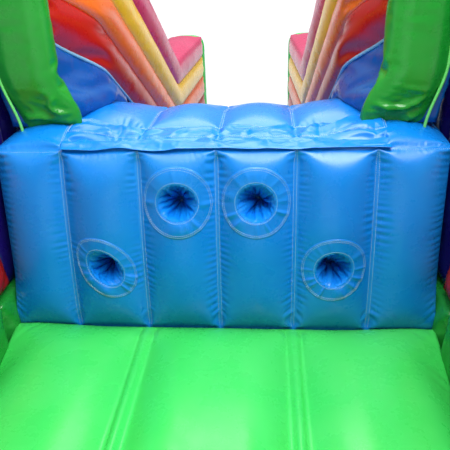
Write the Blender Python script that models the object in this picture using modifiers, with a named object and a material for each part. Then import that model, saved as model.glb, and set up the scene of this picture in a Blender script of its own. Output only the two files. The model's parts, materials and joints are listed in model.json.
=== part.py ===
"""Inflatable bounce house with a climbing block, a slide between rainbow walls and a blower.

Metres, +Z up.  -Y is the entrance, +Y is the foot of the slide, and the ground is z = 0.
Places along Y are measured from the foot of the climbing block, and one empty carries every
piece from there to the middle of the footprint.
"""
from math import asin, atan2, cos, hypot, pi, radians, sin, tan

import bmesh
import bpy
from mathutils import Matrix, Vector

# ---------------------------------------------------------------- driving dimensions
GAP = 0.0003                 # between pieces that touch
LEFT, RIGHT = -1, 1

# bounce floor and the bolsters round it
FLOOR_TOP = 0.22
FLOOR_LENGTH = 2.35
INNER_HALF = 0.87            # half the clear width of the floor
BORDER_WIDTH = 0.33
BORDER_TOP = 0.34
SILL_DEPTH = 0.20            # bolster across the entrance
SILL_TOP = 0.30
STEP_DEPTH = 0.45
STEP_TOP = 0.16
SOFT_EDGE = 0.03             # rounding of a chamber's edges
STRIP_MIDDLE = 0.30          # tied strips between the floor's three lanes, from the middle plane
STRIP_WIDTH = 0.06
LANE_CROWN = 0.022           # lanes' middle above the strips and the floor's edges

# side walls of the bounce area
PILLAR_SETBACK = 0.03        # pillar face behind the floor's edge
PILLAR_TOP = 2.05
FRONT_PILLAR_DEPTH = 0.30
REAR_PILLAR_START = 0.05
BUMPER_SETBACK = 0.06
BUMPER_TOP = 0.85
RAIL_HEIGHT = 1.88
RAIL_RADIUS = 0.12
NET_THICKNESS = 0.004
NET_OPENINGS = (12, 5)       # plain openings along and up, for the fine mesh
NET_BAR = 0.010              # between two openings
ARCH_RISE = 0.26
ARCH_RADIUS = 0.13

# climbing block
BLOCK_FRONT_HEIGHT = 0.72    # above the bounce floor
BLOCK_LEAN = 0.10
BLOCK_DEPTH = 0.84
BLOCK_SHELF = 0.34           # level part behind the front edge
BLOCK_CROWN = 0.022
CROWN_TURN = 1.15 * pi       # how far round its sine wave the crown runs

# hold pockets
BAY = 0.30                   # between the block's seams
UPPER_HOLD_RISE = 0.52       # above the bounce floor
LOWER_HOLD_RISE = 0.26
HOLD_RADIUS = 0.08
HOLD_END_RADIUS = 0.055
HOLD_DEPTH = 0.20
LINER_WALL = 0.003
PATCH_RADIUS = 0.135
PATCH_THICKNESS = 0.0015

# deflation zip under its cover on the block's front edge
ZIP_LEFT = -0.58
ZIP_RIGHT = 0.63
ZIP_SETBACK = 0.035          # track behind the block's front edge
ZIP_WIDTH = 0.022
ZIP_THICKNESS = 0.0020
SLIDER_LENGTH = 0.030
SLIDER_WIDTH = 0.014
SLIDER_HEIGHT = 0.0045
PULL_LENGTH = 0.024
PULL_THICKNESS = 0.0015
COVER_THICKNESS = 0.003
COVER_HINGE_SETBACK = 0.10   # stitch line behind the block's front edge
COVER_OVERHANG = 0.012
COVER_CLEARANCE = 0.0012     # over the slider
COVER_MARGIN = 0.015         # past each end of the zip

# slide
SLIDE_ANGLE = radians(33.4)
SLIDE_START_DROP = 0.001     # bed below the block's back edge
LANDING_TOP = 0.19
LANDING_RADIUS = 0.78        # of the bed's curve between slope and landing
SLIDE_END = 3.30
WALL_WIDTH = 0.30
WALL_SETBACK = 0.07          # slide wall's outer face inside the floor's edge, at the block
LANE_TAPER = 0.11            # each wall's lean towards the middle by the slide's end
WALL_START = 0.30            # front of the walls, on the block
BAND_START = 0.03            # lowest coloured band above the bed
BAND_DEPTH = 0.17
SIDE_EDGE = 0.010
BANDS = ("red", "orange", "yellow", "pink")
POST_DEPTH = 0.08
POST_INSET = 0.05            # front post behind the wall's inner face
END_POST_DEPTH = 0.10

# anchors
ANCHOR_FRONT_INSET = 0.15    # from the bolster's front end
ANCHOR_REAR_INSET = 0.22     # from its rear end
ANCHOR_BAR_HEIGHT = 0.105
RING_WIRE = 0.003            # radius
RING_WIDTH = 0.060           # between wire centres
RING_DROP = 0.045
WEB_WIDTH = 0.044
WEB_THICKNESS = 0.003
WEB_RISE = 0.10
EYE_CLEARANCE = 0.0005

# blower
DRUM_RADIUS = 0.165
DRUM_WIDTH = 0.17
DRUM_WALL = 0.005
BLOWER_INSET = 0.18          # drum's middle inside the outer face
DRUM_HEIGHT = 0.262          # axis above the ground
SLEEVE_LENGTH = 0.16
SLEEVE_RADIUS = 0.075
NOZZLE_LENGTH = 0.10         # ahead of the drum
NOZZLE_RISE = 0.125          # axis above the drum's lowest line
NOZZLE_WALL = 0.004
INLET_RADIUS = 0.095
GRILLE_RADIUS = 0.115
GRILLE_THICKNESS = 0.006
IMPELLER_RADIUS = 0.135
IMPELLER_WIDTH = 0.10
IMPELLER_BLADES = 12
BLADE_THICKNESS = 0.006
BLADE_PHASE = 0.13           # of a blade's pitch, where the wheel comes to rest
HUB_RADIUS = 0.030
SHAFT_RADIUS = 0.008
SHAFT_BORE_DEPTH = 0.030
RUNNING_GAP = 0.0004
MOTOR_RADIUS = 0.060
MOTOR_LENGTH = 0.060
BASE_LENGTH = 0.26
CRADLE_HALF = 0.10           # half the cradle's length under the drum
FOOT_LENGTH = 0.05
FOOT_RELIEF = 0.015
HANDLE_WIRE = 0.009
HANDLE_SPAN = 0.11
HANDLE_RISE = 0.055
SWITCH_BOX = (0.040, 0.060, 0.050)
ROCKER_HALF = 0.011
ROCKER_WIDTH = 0.014
ROCKER_TILT = radians(7.0)
ROCKER_RECESS = 0.013
GLAND_RADIUS = 0.008
GLAND_LENGTH = 0.014

# ---------------------------------------------------------------- places worked out from them
OUTER_HALF = INNER_HALF + BORDER_WIDTH
PILLAR_INNER = INNER_HALF + PILLAR_SETBACK
BUMPER_INNER = INNER_HALF + BUMPER_SETBACK
WALL_MIDDLE = (PILLAR_INNER + OUTER_HALF) / 2
BLOCK_EDGE_Z = FLOOR_TOP + BLOCK_FRONT_HEIGHT
FACE_ANGLE = atan2(BLOCK_LEAN, BLOCK_FRONT_HEIGHT)
SLIDE_START = BLOCK_DEPTH + GAP
LANE_HALF_TOP = INNER_HALF - WALL_SETBACK - WALL_WIDTH
LANE_HALF_END = LANE_HALF_TOP - LANE_TAPER
ANCHOR_FRONT = ANCHOR_FRONT_INSET - FLOOR_LENGTH
ANCHOR_REAR = BLOCK_DEPTH - ANCHOR_REAR_INSET
DRUM_X = OUTER_HALF - BLOWER_INSET
STEP_FRONT = -(FLOOR_LENGTH + STEP_DEPTH)
SLIDE_FOOT = SLIDE_END + GAP + END_POST_DEPTH
FOOTPRINT_MIDDLE = (STEP_FRONT + SLIDE_FOOT) / 2


# ---------------------------------------------------------------- helpers
def clear_scene():
    for item in list(bpy.data.objects):
        bpy.data.objects.remove(item, do_unlink=True)


def new_collection(name):
    collection = bpy.data.collections.new(name)
    bpy.context.scene.collection.children.link(collection)
    return collection


clear_scene()
PARTS = new_collection("bounce_house")
CUTTERS = new_collection("cutters")
ORIGIN = bpy.data.objects.new("block_foot", None)
ORIGIN.location = (0.0, -FOOTPRINT_MIDDLE, 0.0)
PARTS.objects.link(ORIGIN)


def material(name, colour, roughness, metallic=0.0):
    made = bpy.data.materials.new(name)
    made.use_nodes = True
    shader = made.node_tree.nodes["Principled BSDF"]
    shader.inputs["Base Color"].default_value = (*colour, 1.0)
    shader.inputs["Roughness"].default_value = roughness
    shader.inputs["Metallic"].default_value = metallic
    made.diffuse_color = (*colour, 1.0)
    return made


def place(name, mesh, look, location=(0, 0, 0), parent=None):
    """A named object of the assembly, its location given under its parent."""
    made = bpy.data.objects.new(name, mesh)
    made.location = location
    made.parent = parent or ORIGIN
    mesh.materials.clear()
    mesh.materials.append(look)
    PARTS.objects.link(made)
    return made


def cutter(name, mesh, location=(0, 0, 0)):
    made = bpy.data.objects.new(name, mesh)
    made.location = location
    made.parent = ORIGIN
    made.hide_render = True
    made.display_type = "WIRE"
    CUTTERS.objects.link(made)
    return made


def boolean(target, tool, operation="DIFFERENCE"):
    step = target.modifiers.new(tool.name, "BOOLEAN")
    step.operation = operation
    step.object = tool


def round_edges(target, width, segments=2, angle=40.0):
    step = target.modifiers.new("soft_edge", "BEVEL")
    step.width = width
    step.segments = segments
    step.limit_method = "ANGLE"
    step.angle_limit = radians(angle)


def smooth(mesh, angle=40.0):
    mesh.shade_smooth()
    mesh.set_sharp_from_angle(angle=radians(angle))


def box_mesh(name, size):
    bm = bmesh.new()
    bmesh.ops.create_cube(bm, size=1.0)
    bmesh.ops.scale(bm, vec=Vector(size), verts=bm.verts)
    mesh = bpy.data.meshes.new(name)
    bm.to_mesh(mesh)
    bm.free()
    return mesh


def chamber(name, low, high, look, edge=SOFT_EDGE):
    """A box-shaped air chamber between two corners, with soft edges."""
    size = [b - a for a, b in zip(low, high)]
    middle = [(a + b) / 2 for a, b in zip(low, high)]
    made = place(name, box_mesh(name, size), look, middle)
    if edge:
        round_edges(made, edge)
    smooth(made.data)
    return made


def rod_mesh(name, radius, length, axis, sides=32, end_radius=None):
    """A rod or cone from its own middle along "x", "y" or "z"; end_radius is at the + end."""
    bm = bmesh.new()
    bmesh.ops.create_cone(bm, cap_ends=True, segments=sides, radius1=radius,
                          radius2=radius if end_radius is None else end_radius, depth=length)
    turn = {"x": Matrix.Rotation(pi / 2, 4, "Y"), "y": Matrix.Rotation(-pi / 2, 4, "X"), "z": Matrix()}
    bmesh.ops.transform(bm, matrix=turn[axis], verts=bm.verts)
    mesh = bpy.data.meshes.new(name)
    bm.to_mesh(mesh)
    bm.free()
    smooth(mesh)
    return mesh


def as_mesh(curve_object, weld=1e-5, flat_faces=False):
    """The evaluated curve as a closed mesh, its caps welded on; the curve is removed."""
    PARTS.objects.link(curve_object)
    bpy.context.view_layer.update()
    evaluated = curve_object.evaluated_get(bpy.context.evaluated_depsgraph_get())
    mesh = bpy.data.meshes.new_from_object(evaluated)
    bm = bmesh.new()
    bm.from_mesh(mesh)
    bmesh.ops.remove_doubles(bm, verts=bm.verts, dist=weld)
    if flat_faces:
        bmesh.ops.dissolve_limit(bm, angle_limit=radians(0.5), verts=bm.verts, edges=bm.edges)
    bm.to_mesh(mesh)
    bm.free()
    curve = curve_object.data
    bpy.data.objects.remove(curve_object)
    bpy.data.curves.remove(curve)
    return mesh


def outline_mesh(name, outlines, thickness, plane="yz"):
    """Flat outlines, the first one solid and any more as holes, thickened about their plane.

    The outline's two coordinates are the plane's letters, and the third axis is the thickness.
    """
    curve = bpy.data.curves.new(name, "CURVE")
    curve.dimensions = "2D"
    curve.fill_mode = "BOTH"
    curve.extrude = thickness / 2
    for outline in outlines:
        spline = curve.splines.new("POLY")
        spline.points.add(len(outline) - 1)
        for point, (a, b) in zip(spline.points, outline):
            point.co = (a, b, 0.0, 1.0)
        spline.use_cyclic_u = True
    mesh = as_mesh(bpy.data.objects.new(name, curve), flat_faces=True)
    axes = {"yz": ((0, 0, 1), (1, 0, 0), (0, 1, 0)), "xz": ((1, 0, 0), (0, 0, -1), (0, 1, 0)),
            "xy": ((1, 0, 0), (0, 1, 0), (0, 0, 1))}
    mesh.transform(Matrix(axes[plane]).to_4x4())
    return mesh


def tube_mesh(name, points, radius, cyclic=False, resolution=3):
    curve = bpy.data.curves.new(name, "CURVE")
    curve.dimensions = "3D"
    curve.bevel_depth = radius
    curve.bevel_resolution = resolution
    curve.use_fill_caps = True
    spline = curve.splines.new("POLY")
    spline.points.add(len(points) - 1)
    for point, co in zip(spline.points, points):
        point.co = (*co, 1.0)
    spline.use_cyclic_u = cyclic
    mesh = as_mesh(bpy.data.objects.new(name, curve))
    smooth(mesh)
    return mesh


def turned(name, profile, look, location, tilt=0.0, sides=32, closed=False):
    """A profile of (radius, height) turned about its own Z, then tilted about X."""
    count = len(profile)
    edges = [(i, i + 1) for i in range(count - 1)] + ([(count - 1, 0)] if closed else [])
    mesh = bpy.data.meshes.new(name)
    mesh.from_pydata([(r, 0.0, h) for r, h in profile], edges, [])
    made = place(name, mesh, look, location)
    made.rotation_euler = (tilt, 0.0, 0.0)
    step = made.modifiers.new("turn", "SCREW")
    step.steps = sides
    step.render_steps = sides
    step.use_merge_vertices = True
    step.merge_threshold = 0.00001
    return made


def arc(centre, radius, start, stop, steps):
    """Points on a circle, from one angle to another."""
    for i in range(steps + 1):
        angle = start + (stop - start) * i / steps
        yield centre[0] + radius * cos(angle), centre[1] + radius * sin(angle)


# ---------------------------------------------------------------- colours
VINYL = 0.30
GREEN = material("green_vinyl", (0.06, 0.55, 0.10), VINYL)
DARK_GREEN = material("green_post_vinyl", (0.02, 0.27, 0.05), VINYL)
BLUE = material("blue_vinyl", (0.02, 0.27, 0.66), VINYL)
POCKET_BLUE = material("pocket_vinyl", (0.01, 0.16, 0.48), VINYL)
PURPLE = material("purple_vinyl", (0.03, 0.01, 0.16), VINYL)
RED = material("red_vinyl", (0.38, 0.02, 0.02), VINYL)
ORANGE = material("orange_vinyl", (0.80, 0.22, 0.05), VINYL)
YELLOW = material("yellow_vinyl", (0.90, 0.62, 0.06), VINYL)
PINK = material("pink_vinyl", (0.50, 0.06, 0.12), VINYL)
NETTING = material("black_netting", (0.02, 0.02, 0.02), 0.7)
WEBBING = material("black_webbing", (0.02, 0.02, 0.02), 0.8)
ZIP_TAPE = material("zip_tape", (0.03, 0.03, 0.04), 0.7)
STEEL = material("plated_steel", (0.60, 0.60, 0.62), 0.3, 1.0)
HOUSING = material("blower_plastic", (0.85, 0.45, 0.02), 0.4)
BLACK_PLASTIC = material("black_plastic", (0.02, 0.02, 0.02), 0.5)
BAND_LOOKS = {"red": RED, "orange": ORANGE, "yellow": YELLOW, "pink": PINK}


# ---------------------------------------------------------------- bounce floor and bolsters
def crowned_lane(start, stop, steps=8):
    """The top of one lane between two x, from stop back to start."""
    middle, half = (start + stop) / 2, (stop - start) / 2
    for i in range(steps + 1):
        share = 1 - 2 * i / steps
        yield middle + half * share, FLOOR_TOP - LANE_CROWN * share ** 2


def bounce_floor():
    """Three lanes side by side, with a tied strip between each two."""
    inner, outer = STRIP_MIDDLE - STRIP_WIDTH / 2, STRIP_MIDDLE + STRIP_WIDTH / 2
    outline = [(-INNER_HALF, 0.0), (INNER_HALF, 0.0)]
    for start, stop in ((outer, INNER_HALF), (-inner, inner), (-INNER_HALF, -outer)):
        outline += crowned_lane(start, stop)
    front, back = -FLOOR_LENGTH + SILL_DEPTH + GAP, -GAP
    lanes = place("bounce_floor", outline_mesh("bounce_floor", [outline], back - front, "xz"), GREEN,
                  (0.0, (front + back) / 2, 0.0))
    smooth(lanes.data)
    chamber("border_front", (-INNER_HALF, -FLOOR_LENGTH, 0.0),
            (INNER_HALF, -FLOOR_LENGTH + SILL_DEPTH, SILL_TOP), GREEN)
    chamber("entrance_step", (-INNER_HALF, STEP_FRONT, 0.0),
            (INNER_HALF, -FLOOR_LENGTH - GAP, STEP_TOP), BLUE)


def side_span(side, near, far):
    """Low and high x of a piece on one side, from its distances to the middle plane."""
    return sorted((side * near, side * far))


def side_wall(side, word):
    near, far = side_span(side, INNER_HALF + GAP, OUTER_HALF)
    chamber("border_" + word, (near, -FLOOR_LENGTH, 0.0), (far, BLOCK_DEPTH, BORDER_TOP), GREEN)

    near, far = side_span(side, PILLAR_INNER, OUTER_HALF)
    foot = BORDER_TOP + GAP
    front_end = -FLOOR_LENGTH + FRONT_PILLAR_DEPTH
    chamber("pillar_front_" + word, (near, -FLOOR_LENGTH, foot), (far, front_end, PILLAR_TOP), PURPLE)
    chamber("pillar_rear_" + word, (near, REAR_PILLAR_START, foot), (far, BLOCK_DEPTH, PILLAR_TOP), PURPLE)

    start = front_end + GAP
    stop = REAR_PILLAR_START - GAP
    near, far = side_span(side, BUMPER_INNER, OUTER_HALF)
    chamber("bumper_" + word, (near, start, foot), (far, stop, BUMPER_TOP), RED)

    middle = side * WALL_MIDDLE
    rail = rod_mesh("top_rail_" + word, RAIL_RADIUS, stop - start, "y", sides=24)
    place(rail.name, rail, RED, (middle, (start + stop) / 2, RAIL_HEIGHT))
    place("side_net_" + word, net_mesh("side_net_" + word, (start, BUMPER_TOP + GAP),
                                       (stop, RAIL_HEIGHT - RAIL_RADIUS - GAP)), NETTING, (middle, 0.0, 0.0))


def net_mesh(name, low, high):
    """A flat net between two corners (y, z), with a plain grid of openings."""
    outlines = [[low, (high[0], low[1]), high, (low[0], high[1])]]
    pitch = [(b - a - NET_BAR) / count for a, b, count in zip(low, high, NET_OPENINGS)]
    for i in range(NET_OPENINGS[0]):
        for k in range(NET_OPENINGS[1]):
            near = (low[0] + NET_BAR + i * pitch[0], low[1] + NET_BAR + k * pitch[1])
            far = (near[0] + pitch[0] - NET_BAR, near[1] + pitch[1] - NET_BAR)
            outlines.append([near, (far[0], near[1]), far, (near[0], far[1])])
    return outline_mesh(name, outlines, NET_THICKNESS)


def front_arch():
    """A bowed tube that stands on both front pillars."""
    steps = 20
    y = -FLOOR_LENGTH + FRONT_PILLAR_DEPTH / 2
    foot = PILLAR_TOP + GAP
    points = [(-WALL_MIDDLE, y, foot)]
    for i in range(steps + 1):
        across = -1 + 2 * i / steps
        drop = abs(across) ** 2.6
        points.append((WALL_MIDDLE * across, y, foot + ARCH_RADIUS + ARCH_RISE * (1 - drop)))
    points.append((WALL_MIDDLE, y, foot))
    place("front_arch", tube_mesh("front_arch", points, ARCH_RADIUS, resolution=4), YELLOW)


# ---------------------------------------------------------------- climbing block
def face_y(height):
    """Y of the block's sloping front at a height above the ground."""
    return (height - FLOOR_TOP) * tan(FACE_ANGLE)


def block_outline():
    edge = (BLOCK_LEAN, BLOCK_EDGE_Z)
    return [(0.0, 0.0), (0.0, FLOOR_TOP), edge] + crown_line() + [(BLOCK_DEPTH, 0.0)]


def block_top(y):
    """Height of the block's top: level in front, then crowned."""
    share = (y - BLOCK_SHELF) / (BLOCK_DEPTH - BLOCK_SHELF)
    return BLOCK_EDGE_Z + BLOCK_CROWN * sin(CROWN_TURN * max(0.0, share))


def crown_line(steps=6):
    """Points along the crowned part of the top, front to back."""
    places = [BLOCK_SHELF + (BLOCK_DEPTH - BLOCK_SHELF) * i / steps for i in range(steps + 1)]
    return [(y, block_top(y)) for y in places]


def holds():
    """Name, x and height of each hold pocket's mouth."""
    for word, side in (("left", LEFT), ("right", RIGHT)):
        yield "upper_" + word, side * BAY * 0.5, FLOOR_TOP + UPPER_HOLD_RISE
        yield "lower_" + word, side * BAY * 1.5, FLOOR_TOP + LOWER_HOLD_RISE


def climbing_block():
    mesh = outline_mesh("climbing_block", [block_outline()], 2 * INNER_HALF)
    block = place("climbing_block", mesh, BLUE)
    into_block = -(pi / 2 + FACE_ANGLE)      # turns the pocket's +Z onto the face's inward normal
    flare = (HOLD_RADIUS - HOLD_END_RADIUS) / HOLD_DEPTH
    lead = 0.03
    for word, x, height in holds():
        mouth = Vector((x, face_y(height), height))
        cone = rod_mesh("cut_" + word, HOLD_RADIUS + flare * lead, HOLD_DEPTH + lead, "z", 24, HOLD_END_RADIUS)
        tool = cutter(cone.name, cone, mouth + Vector((0, cos(FACE_ANGLE), -sin(FACE_ANGLE)))
                      * (HOLD_DEPTH - lead) / 2)
        tool.rotation_euler = (into_block, 0.0, 0.0)
        boolean(block, tool)

        outer = HOLD_RADIUS - 2 * GAP
        end = HOLD_END_RADIUS - 2 * GAP
        bottom = HOLD_DEPTH - GAP
        cup = [(0.0, bottom), (end, bottom), (outer, 0.0), (outer - LINER_WALL, 0.0),
               (end - LINER_WALL, bottom - LINER_WALL), (0.0, bottom - LINER_WALL)]
        turned("hold_pocket_" + word, cup, POCKET_BLUE, mouth, into_block, 24)

        inner = HOLD_RADIUS + GAP
        ring = [(inner, -GAP - PATCH_THICKNESS), (PATCH_RADIUS, -GAP - PATCH_THICKNESS),
                (PATCH_RADIUS, -GAP), (inner, -GAP)]
        turned("hold_patch_" + word, list(reversed(ring)), BLUE, mouth, into_block, 32, closed=True)


# ---------------------------------------------------------------- deflation zip and its cover
def zip_and_cover():
    length = ZIP_RIGHT - ZIP_LEFT
    middle = (ZIP_LEFT + ZIP_RIGHT) / 2
    track_y = BLOCK_LEAN + ZIP_SETBACK
    track_low = BLOCK_EDGE_Z + GAP
    chamber("zip_track", (ZIP_LEFT, track_y - ZIP_WIDTH / 2, track_low),
            (ZIP_RIGHT, track_y + ZIP_WIDTH / 2, track_low + ZIP_THICKNESS), ZIP_TAPE, edge=0)

    slider_low = track_low + ZIP_THICKNESS + GAP
    slider = outline_mesh("zip_slider", [slider_outline()], SLIDER_WIDTH, "xz")
    slider_x = ZIP_LEFT + SLIDER_LENGTH + PULL_LENGTH
    place("zip_slider", slider, STEEL, (slider_x, track_y, slider_low))

    hinge_y = BLOCK_LEAN + COVER_HINGE_SETBACK
    half = COVER_THICKNESS / 2
    hinge_z = BLOCK_EDGE_Z + GAP + half
    under = slider_low + SLIDER_HEIGHT + COVER_CLEARANCE - hinge_z
    run = COVER_HINGE_SETBACK - ZIP_SETBACK - ZIP_WIDTH / 2
    slope = atan2(under + half, run)
    knee = (-run, under)
    hem = (-COVER_HINGE_SETBACK - COVER_OVERHANG, under)
    above = (0.0, COVER_THICKNESS)
    tail = [(half * cos(a), half * sin(a)) for a in
            [pi / 2 - slope - (pi * i / 6) for i in range(7)]]
    profile = tail + [knee, hem, (hem[0], hem[1] + above[1]), (knee[0], knee[1] + above[1])]
    width = length + 2 * COVER_MARGIN
    cover = outline_mesh("zip_cover_flap", [profile], width)
    place("zip_cover_flap", cover, BLUE, (middle, hinge_y, hinge_z))


def slider_outline():
    """Side view of the zip's slider with its pull tab lying flat behind it."""
    half = SLIDER_LENGTH / 2
    return [(-half - PULL_LENGTH, 0.0), (half, 0.0), (half, SLIDER_HEIGHT * 0.6),
            (half * 0.5, SLIDER_HEIGHT), (-half * 0.5, SLIDER_HEIGHT), (-half, PULL_THICKNESS),
            (-half - PULL_LENGTH, PULL_THICKNESS)]


# ---------------------------------------------------------------- slide
def slide_start_z():
    return block_top(BLOCK_DEPTH) - SLIDE_START_DROP


def curve_centre():
    """Centre of the round stretch between slope and landing, seen from the side."""
    foot_z = LANDING_TOP + LANDING_RADIUS * (1 - cos(SLIDE_ANGLE))
    foot_y = SLIDE_START + (slide_start_z() - foot_z) / tan(SLIDE_ANGLE)
    return foot_y + LANDING_RADIUS * sin(SLIDE_ANGLE), LANDING_TOP + LANDING_RADIUS


def lane_line(offset, start, stop=SLIDE_END):
    """The bed's side view raised square to itself by offset, from y = start to y = stop."""
    centre_y, centre_z = curve_centre()
    radius = LANDING_RADIUS - offset
    bend = list(arc((centre_y, centre_z), radius, -pi / 2 - SLIDE_ANGLE, -pi / 2, 6))
    top_y, top_z = bend[0]
    head = (start, top_z + (top_y - start) * tan(SLIDE_ANGLE))
    return [head] + bend + [(stop, LANDING_TOP + offset)]


def lane_half(y):
    """Half the width between the slide's walls."""
    share = (y - BLOCK_DEPTH) / (SLIDE_END - BLOCK_DEPTH)
    return LANE_HALF_TOP + (LANE_HALF_END - LANE_HALF_TOP) * share


def slide_bed():
    line = lane_line(0.0, SLIDE_START)
    outline = [(SLIDE_START, 0.0), (SLIDE_END, 0.0)] + list(reversed(line))
    mesh = outline_mesh("slide_bed", [outline], 2.0)
    for vertex in mesh.vertices:
        vertex.co.x *= lane_half(vertex.co.y) - GAP
    place("slide_bed", mesh, BLUE)


def wall_piece(name, outline, side, look, edge=SOFT_EDGE):
    """A side view thickened to the wall's width and set against the lane's edge."""
    mesh = outline_mesh(name, [outline], WALL_WIDTH)
    for vertex in mesh.vertices:
        vertex.co.x = side * (lane_half(vertex.co.y) + WALL_WIDTH / 2 + side * vertex.co.x)
    made = place(name, mesh, look)
    round_edges(made, edge, segments=1, angle=60.0)
    return made


def slide_wall(side, word):
    seat = [(WALL_START, BLOCK_EDGE_Z + GAP)] + [(y, z + GAP) for y, z in crown_line()]
    seat.append((SLIDE_START, seat[-1][1]))
    rim = lane_line(BAND_START, WALL_START)
    base = seat + [(SLIDE_START, 0.0), (SLIDE_END, 0.0)] + list(reversed(rim))
    wall_piece("slide_side_" + word, base, side, BLUE, edge=SIDE_EDGE)
    for i, colour in enumerate(BANDS):
        lower = lane_line(BAND_START + i * BAND_DEPTH + GAP, WALL_START)
        upper = lane_line(BAND_START + (i + 1) * BAND_DEPTH, WALL_START)
        wall_piece("_".join(("wall_band", colour, word)), lower + list(reversed(upper)), side, BAND_LOOKS[colour])

    height = BAND_START + len(BANDS) * BAND_DEPTH
    crest = lane_line(height, WALL_START)[0][1]
    near, far = side_span(side, lane_half(WALL_START) + POST_INSET, lane_half(WALL_START) + WALL_WIDTH)
    chamber("slide_post_" + word, (near, WALL_START - GAP - POST_DEPTH, BLOCK_EDGE_Z + GAP),
            (far, WALL_START - GAP, crest), DARK_GREEN, edge=SOFT_EDGE)
    near, far = side_span(side, lane_half(SLIDE_END), lane_half(SLIDE_END) + WALL_WIDTH)
    chamber("end_post_" + word, (near, SLIDE_END + GAP, 0.0), (far, SLIDE_FOOT, LANDING_TOP + height),
            GREEN, edge=SOFT_EDGE)


# ---------------------------------------------------------------- anchors
def ring_points():
    """A D: straight bar along Y through the origin, and a bow that hangs below it."""
    half = RING_WIDTH / 2
    corner = 0.007
    bow = [(half * cos(a), -corner - (RING_DROP - corner) * sin(a)) for a in
           [pi * i / 12 for i in range(13)]]
    bar = [(-half + corner, 0.0), (half - corner, 0.0)]
    return [(0.0, y, z) for y, z in bar + bow]


def anchor(side, word, y):
    """A sewn webbing tab with an eye, and the D-ring that swings in it."""
    eye_bore = RING_WIRE + EYE_CLEARANCE
    eye = eye_bore + WEB_THICKNESS
    wall = OUTER_HALF + GAP
    bar_x = side * (wall + eye)
    ring = place("anchor_ring_" + word, tube_mesh("anchor_ring_" + word, ring_points(), RING_WIRE, True, 2),
                 STEEL, (bar_x, y, ANCHOR_BAR_HEIGHT))
    ring.data.shade_smooth()
    top = WEB_RISE
    outline = [(-eye, top), (-eye, 0.0)] + list(arc((0.0, 0.0), eye, pi, 2.25 * pi, 12))[1:]
    outline += [(-eye + WEB_THICKNESS, eye * 1.3), (-eye + WEB_THICKNESS, top)]
    bore = list(arc((0.0, 0.0), eye_bore, 0.0, 2 * pi, 16))[:-1]
    mesh = outline_mesh("anchor_tab_" + word, [outline, bore], WEB_WIDTH, "xz")
    if side < 0:
        mesh.transform(Matrix.Rotation(pi, 4, "Z"))
    place("anchor_tab_" + word, mesh, WEBBING, (bar_x, y, ANCHOR_BAR_HEIGHT))


# ---------------------------------------------------------------- blower
def blower():
    outlet_y = BLOCK_DEPTH + GAP
    nozzle_start = outlet_y + SLEEVE_LENGTH + GAP
    drum_y = nozzle_start + NOZZLE_LENGTH + DRUM_RADIUS
    nozzle_z = DRUM_HEIGHT - DRUM_RADIUS + NOZZLE_RISE
    axis = Vector((DRUM_X, drum_y, DRUM_HEIGHT))

    sleeve = rod_mesh("inflation_sleeve", SLEEVE_RADIUS, SLEEVE_LENGTH, "y", sides=24)
    place(sleeve.name, sleeve, GREEN, (DRUM_X, outlet_y + SLEEVE_LENGTH / 2, nozzle_z))

    # housing: drum and outlet nozzle in one shell, open at inlet, outlet and shaft
    housing = place("blower_housing", rod_mesh("blower_housing", DRUM_RADIUS, DRUM_WIDTH, "x", 40), HOUSING, axis)
    reach = NOZZLE_LENGTH + DRUM_RADIUS
    nozzle_at = (DRUM_X, nozzle_start + reach / 2, nozzle_z)
    joined = cutter("nozzle_outside", rod_mesh("nozzle_outside", SLEEVE_RADIUS, reach, "y", 24), nozzle_at)
    hollow = cutter("drum_inside", rod_mesh("drum_inside", DRUM_RADIUS - DRUM_WALL,
                                            DRUM_WIDTH - 2 * DRUM_WALL, "x", 40), axis)
    bore_at = (DRUM_X, nozzle_start + (reach - 2 * DRUM_WALL) / 2, nozzle_z)
    bore = cutter("nozzle_inside", rod_mesh("nozzle_inside", SLEEVE_RADIUS - NOZZLE_WALL,
                                            reach + 2 * DRUM_WALL, "y", 24), bore_at)
    inlet = cutter("inlet_hole", rod_mesh("inlet_hole", INLET_RADIUS, 4 * DRUM_WALL, "x", 32),
                   axis + Vector((DRUM_WIDTH / 2, 0, 0)))
    shaft_hole = cutter("shaft_hole", rod_mesh("shaft_hole", SHAFT_RADIUS + 5 * RUNNING_GAP, 4 * DRUM_WALL, "x", 20),
                        axis - Vector((DRUM_WIDTH / 2, 0, 0)))
    boolean(housing, joined, "UNION")
    for tool in (hollow, bore, inlet, shaft_hole):
        boolean(housing, tool)

    grille_x = DRUM_X + DRUM_WIDTH / 2 + GAP + GRILLE_THICKNESS / 2
    place("inlet_grille", grille_mesh(), BLACK_PLASTIC, (grille_x, drum_y, DRUM_HEIGHT))

    # motor on the far end plate, with a bore that carries the impeller's shaft
    motor_x = DRUM_X - DRUM_WIDTH / 2 - GAP - MOTOR_LENGTH / 2
    motor = place("blower_motor", rod_mesh("blower_motor", MOTOR_RADIUS, MOTOR_LENGTH, "x", 28), BLACK_PLASTIC,
                  (motor_x, drum_y, DRUM_HEIGHT))
    motor_face = motor_x + MOTOR_LENGTH / 2
    shaft_bore = cutter("motor_bore", rod_mesh("motor_bore", SHAFT_RADIUS + RUNNING_GAP, 2 * SHAFT_BORE_DEPTH, "x", 20),
                        (motor_face, drum_y, DRUM_HEIGHT))
    boolean(motor, shaft_bore)

    impeller = place("impeller", wheel_mesh(), STEEL, axis)
    shaft_start = motor_face - SHAFT_BORE_DEPTH + RUNNING_GAP
    shaft_length = DRUM_X - shaft_start
    shaft = cutter("impeller_shaft", rod_mesh("impeller_shaft", SHAFT_RADIUS, shaft_length, "x", 20),
                   (shaft_start + shaft_length / 2, drum_y, DRUM_HEIGHT))
    boolean(impeller, shaft, "UNION")

    base_and_handle(drum_y)
    switch(drum_y)


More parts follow.
